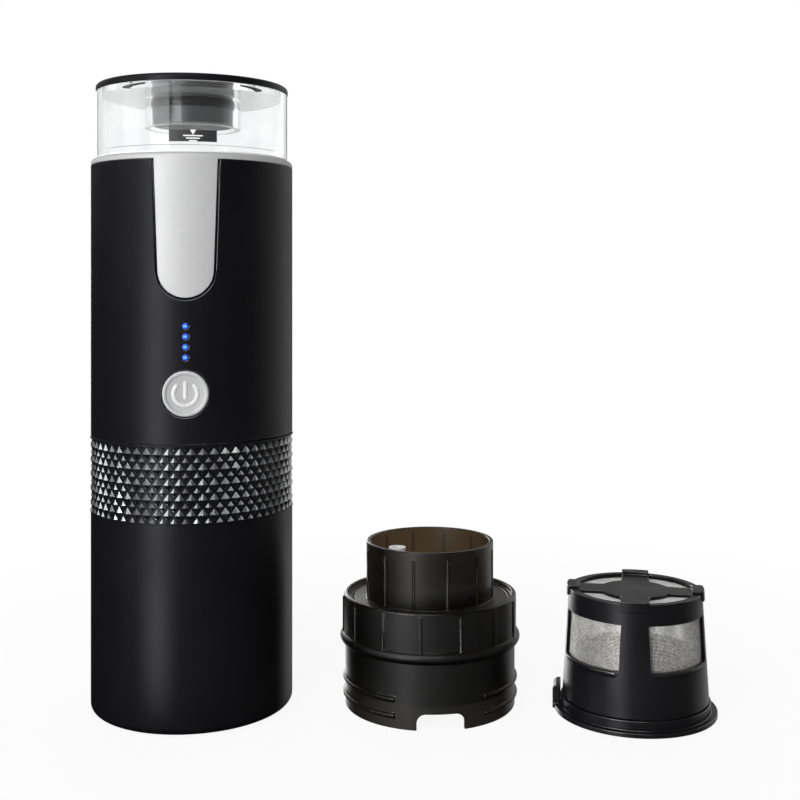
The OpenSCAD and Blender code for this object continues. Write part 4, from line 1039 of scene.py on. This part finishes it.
def studio_floor():
    shape = bmesh.new()
    bmesh.ops.create_grid(shape, x_segments=2, y_segments=2, size=FLOOR_HALF)
    mesh = bpy.data.meshes.new("studio_floor")
    shape.to_mesh(mesh)
    shape.free()
    mesh.materials.append(studio_paper())
    floor = new_object("studio_floor", mesh)
    floor.location = ((cad_box[0].x + cad_box[1].x) / 2, 0.0, cad_box[0].z - FLOOR_GAP)


def studio_world():
    """White to the eye and through clear pieces; a dim room otherwise, brighter behind the object."""
    world = bpy.data.worlds.new("studio_world")
    bpy.context.scene.world = world
    world.use_nodes = True
    g = Graph(world.node_tree)
    world.node_tree.nodes.clear()
    path, seen = seen_rays(g)
    way = g.add("ShaderNodeSeparateXYZ", {"Vector": g.add("ShaderNodeTexCoord").outputs["Generated"]}).outputs
    behind = g.product(g.scaled_range(way["Y"], 0.0, 1.0, 0.0, 0.5), g.scaled_range(way["X"], 0.15, 1.0, -0.3, 0.3))
    rising = g.scaled_range(way["Z"], 0.0, 1.0, 0.08, 0.25)
    falling = g.scaled_range(way["Z"], 1.0, 0.0, 0.5, 0.7)
    leftward = g.scaled_range(way["X"], 0.42, 0.16, -0.6, 0.4)
    shine = g.math("ADD", g.product(rising, falling, leftward), g.product(behind, 0.24))
    dim = g.math("ADD", 0.12, g.product(behind, 0.5))
    gloss = path["Is Glossy Ray"]
    level = g.math("ADD", g.product(gloss, shine), g.product(g.math("SUBTRACT", 1.0, gloss), dim))
    room = g.add("ShaderNodeBackground", {"Color": WHITE, "Strength": level})
    backdrop = g.add("ShaderNodeBackground", {"Color": WHITE, "Strength": 1.0})
    mixed = g.add("ShaderNodeMixShader", {0: seen, 1: room.outputs[0], 2: backdrop.outputs[0]})
    g.add("ShaderNodeOutputWorld", {"Surface": mixed.outputs[0]})


LIT_POINT = Vector((0.02, 0.0, 0.11))


def softbox(name, azimuth, height, distance, size, power):
    """A soft lamp that faces the object. Azimuth 0 is the camera's side, and positive is to its right."""
    data = bpy.data.lights.new(name, "AREA")
    data.shape = "RECTANGLE"
    data.size, data.size_y = size
    data.energy = power
    lamp = new_object(name, data)
    a = math.radians(azimuth)
    lamp.location = LIT_POINT + Vector((math.sin(a) * distance, -math.cos(a) * distance, height))
    lamp.rotation_mode = "QUATERNION"
    lamp.rotation_quaternion = (LIT_POINT - lamp.location).to_track_quat("-Z", "Y")
    return lamp


def camera():
    data = bpy.data.cameras.new("view")
    data.sensor_width = 36.0
    data.lens = 54.0
    data.shift_y = -0.148
    data.clip_start, data.clip_end = 0.01, 50.0
    eye = new_object("view", data)
    eye.location = (0.03003, -0.4296, 0.14826)
    eye.rotation_euler = (math.radians(90), 0.0, math.radians(-5.79))
    bpy.context.scene.camera = eye


studio_floor()
studio_world()
softbox("key_strip", -36, 0.09, 0.9, (0.36, 0.42), 4.0)
softbox("left_panel", -73, 0.27, 0.9, (0.4, 0.22), 0.4)
softbox("right_panel", 116, 0.1, 0.9, (1.2, 0.9), 1.4)
softbox("top_box", -28, 0.75, 0.8, (1.3, 0.45), 7.5)
softbox("back_box", 188, 0.1, 0.9, (0.4, 0.42), 2.4).visible_transmission = False
camera()
bpy.context.scene.view_settings.view_transform = "Standard"
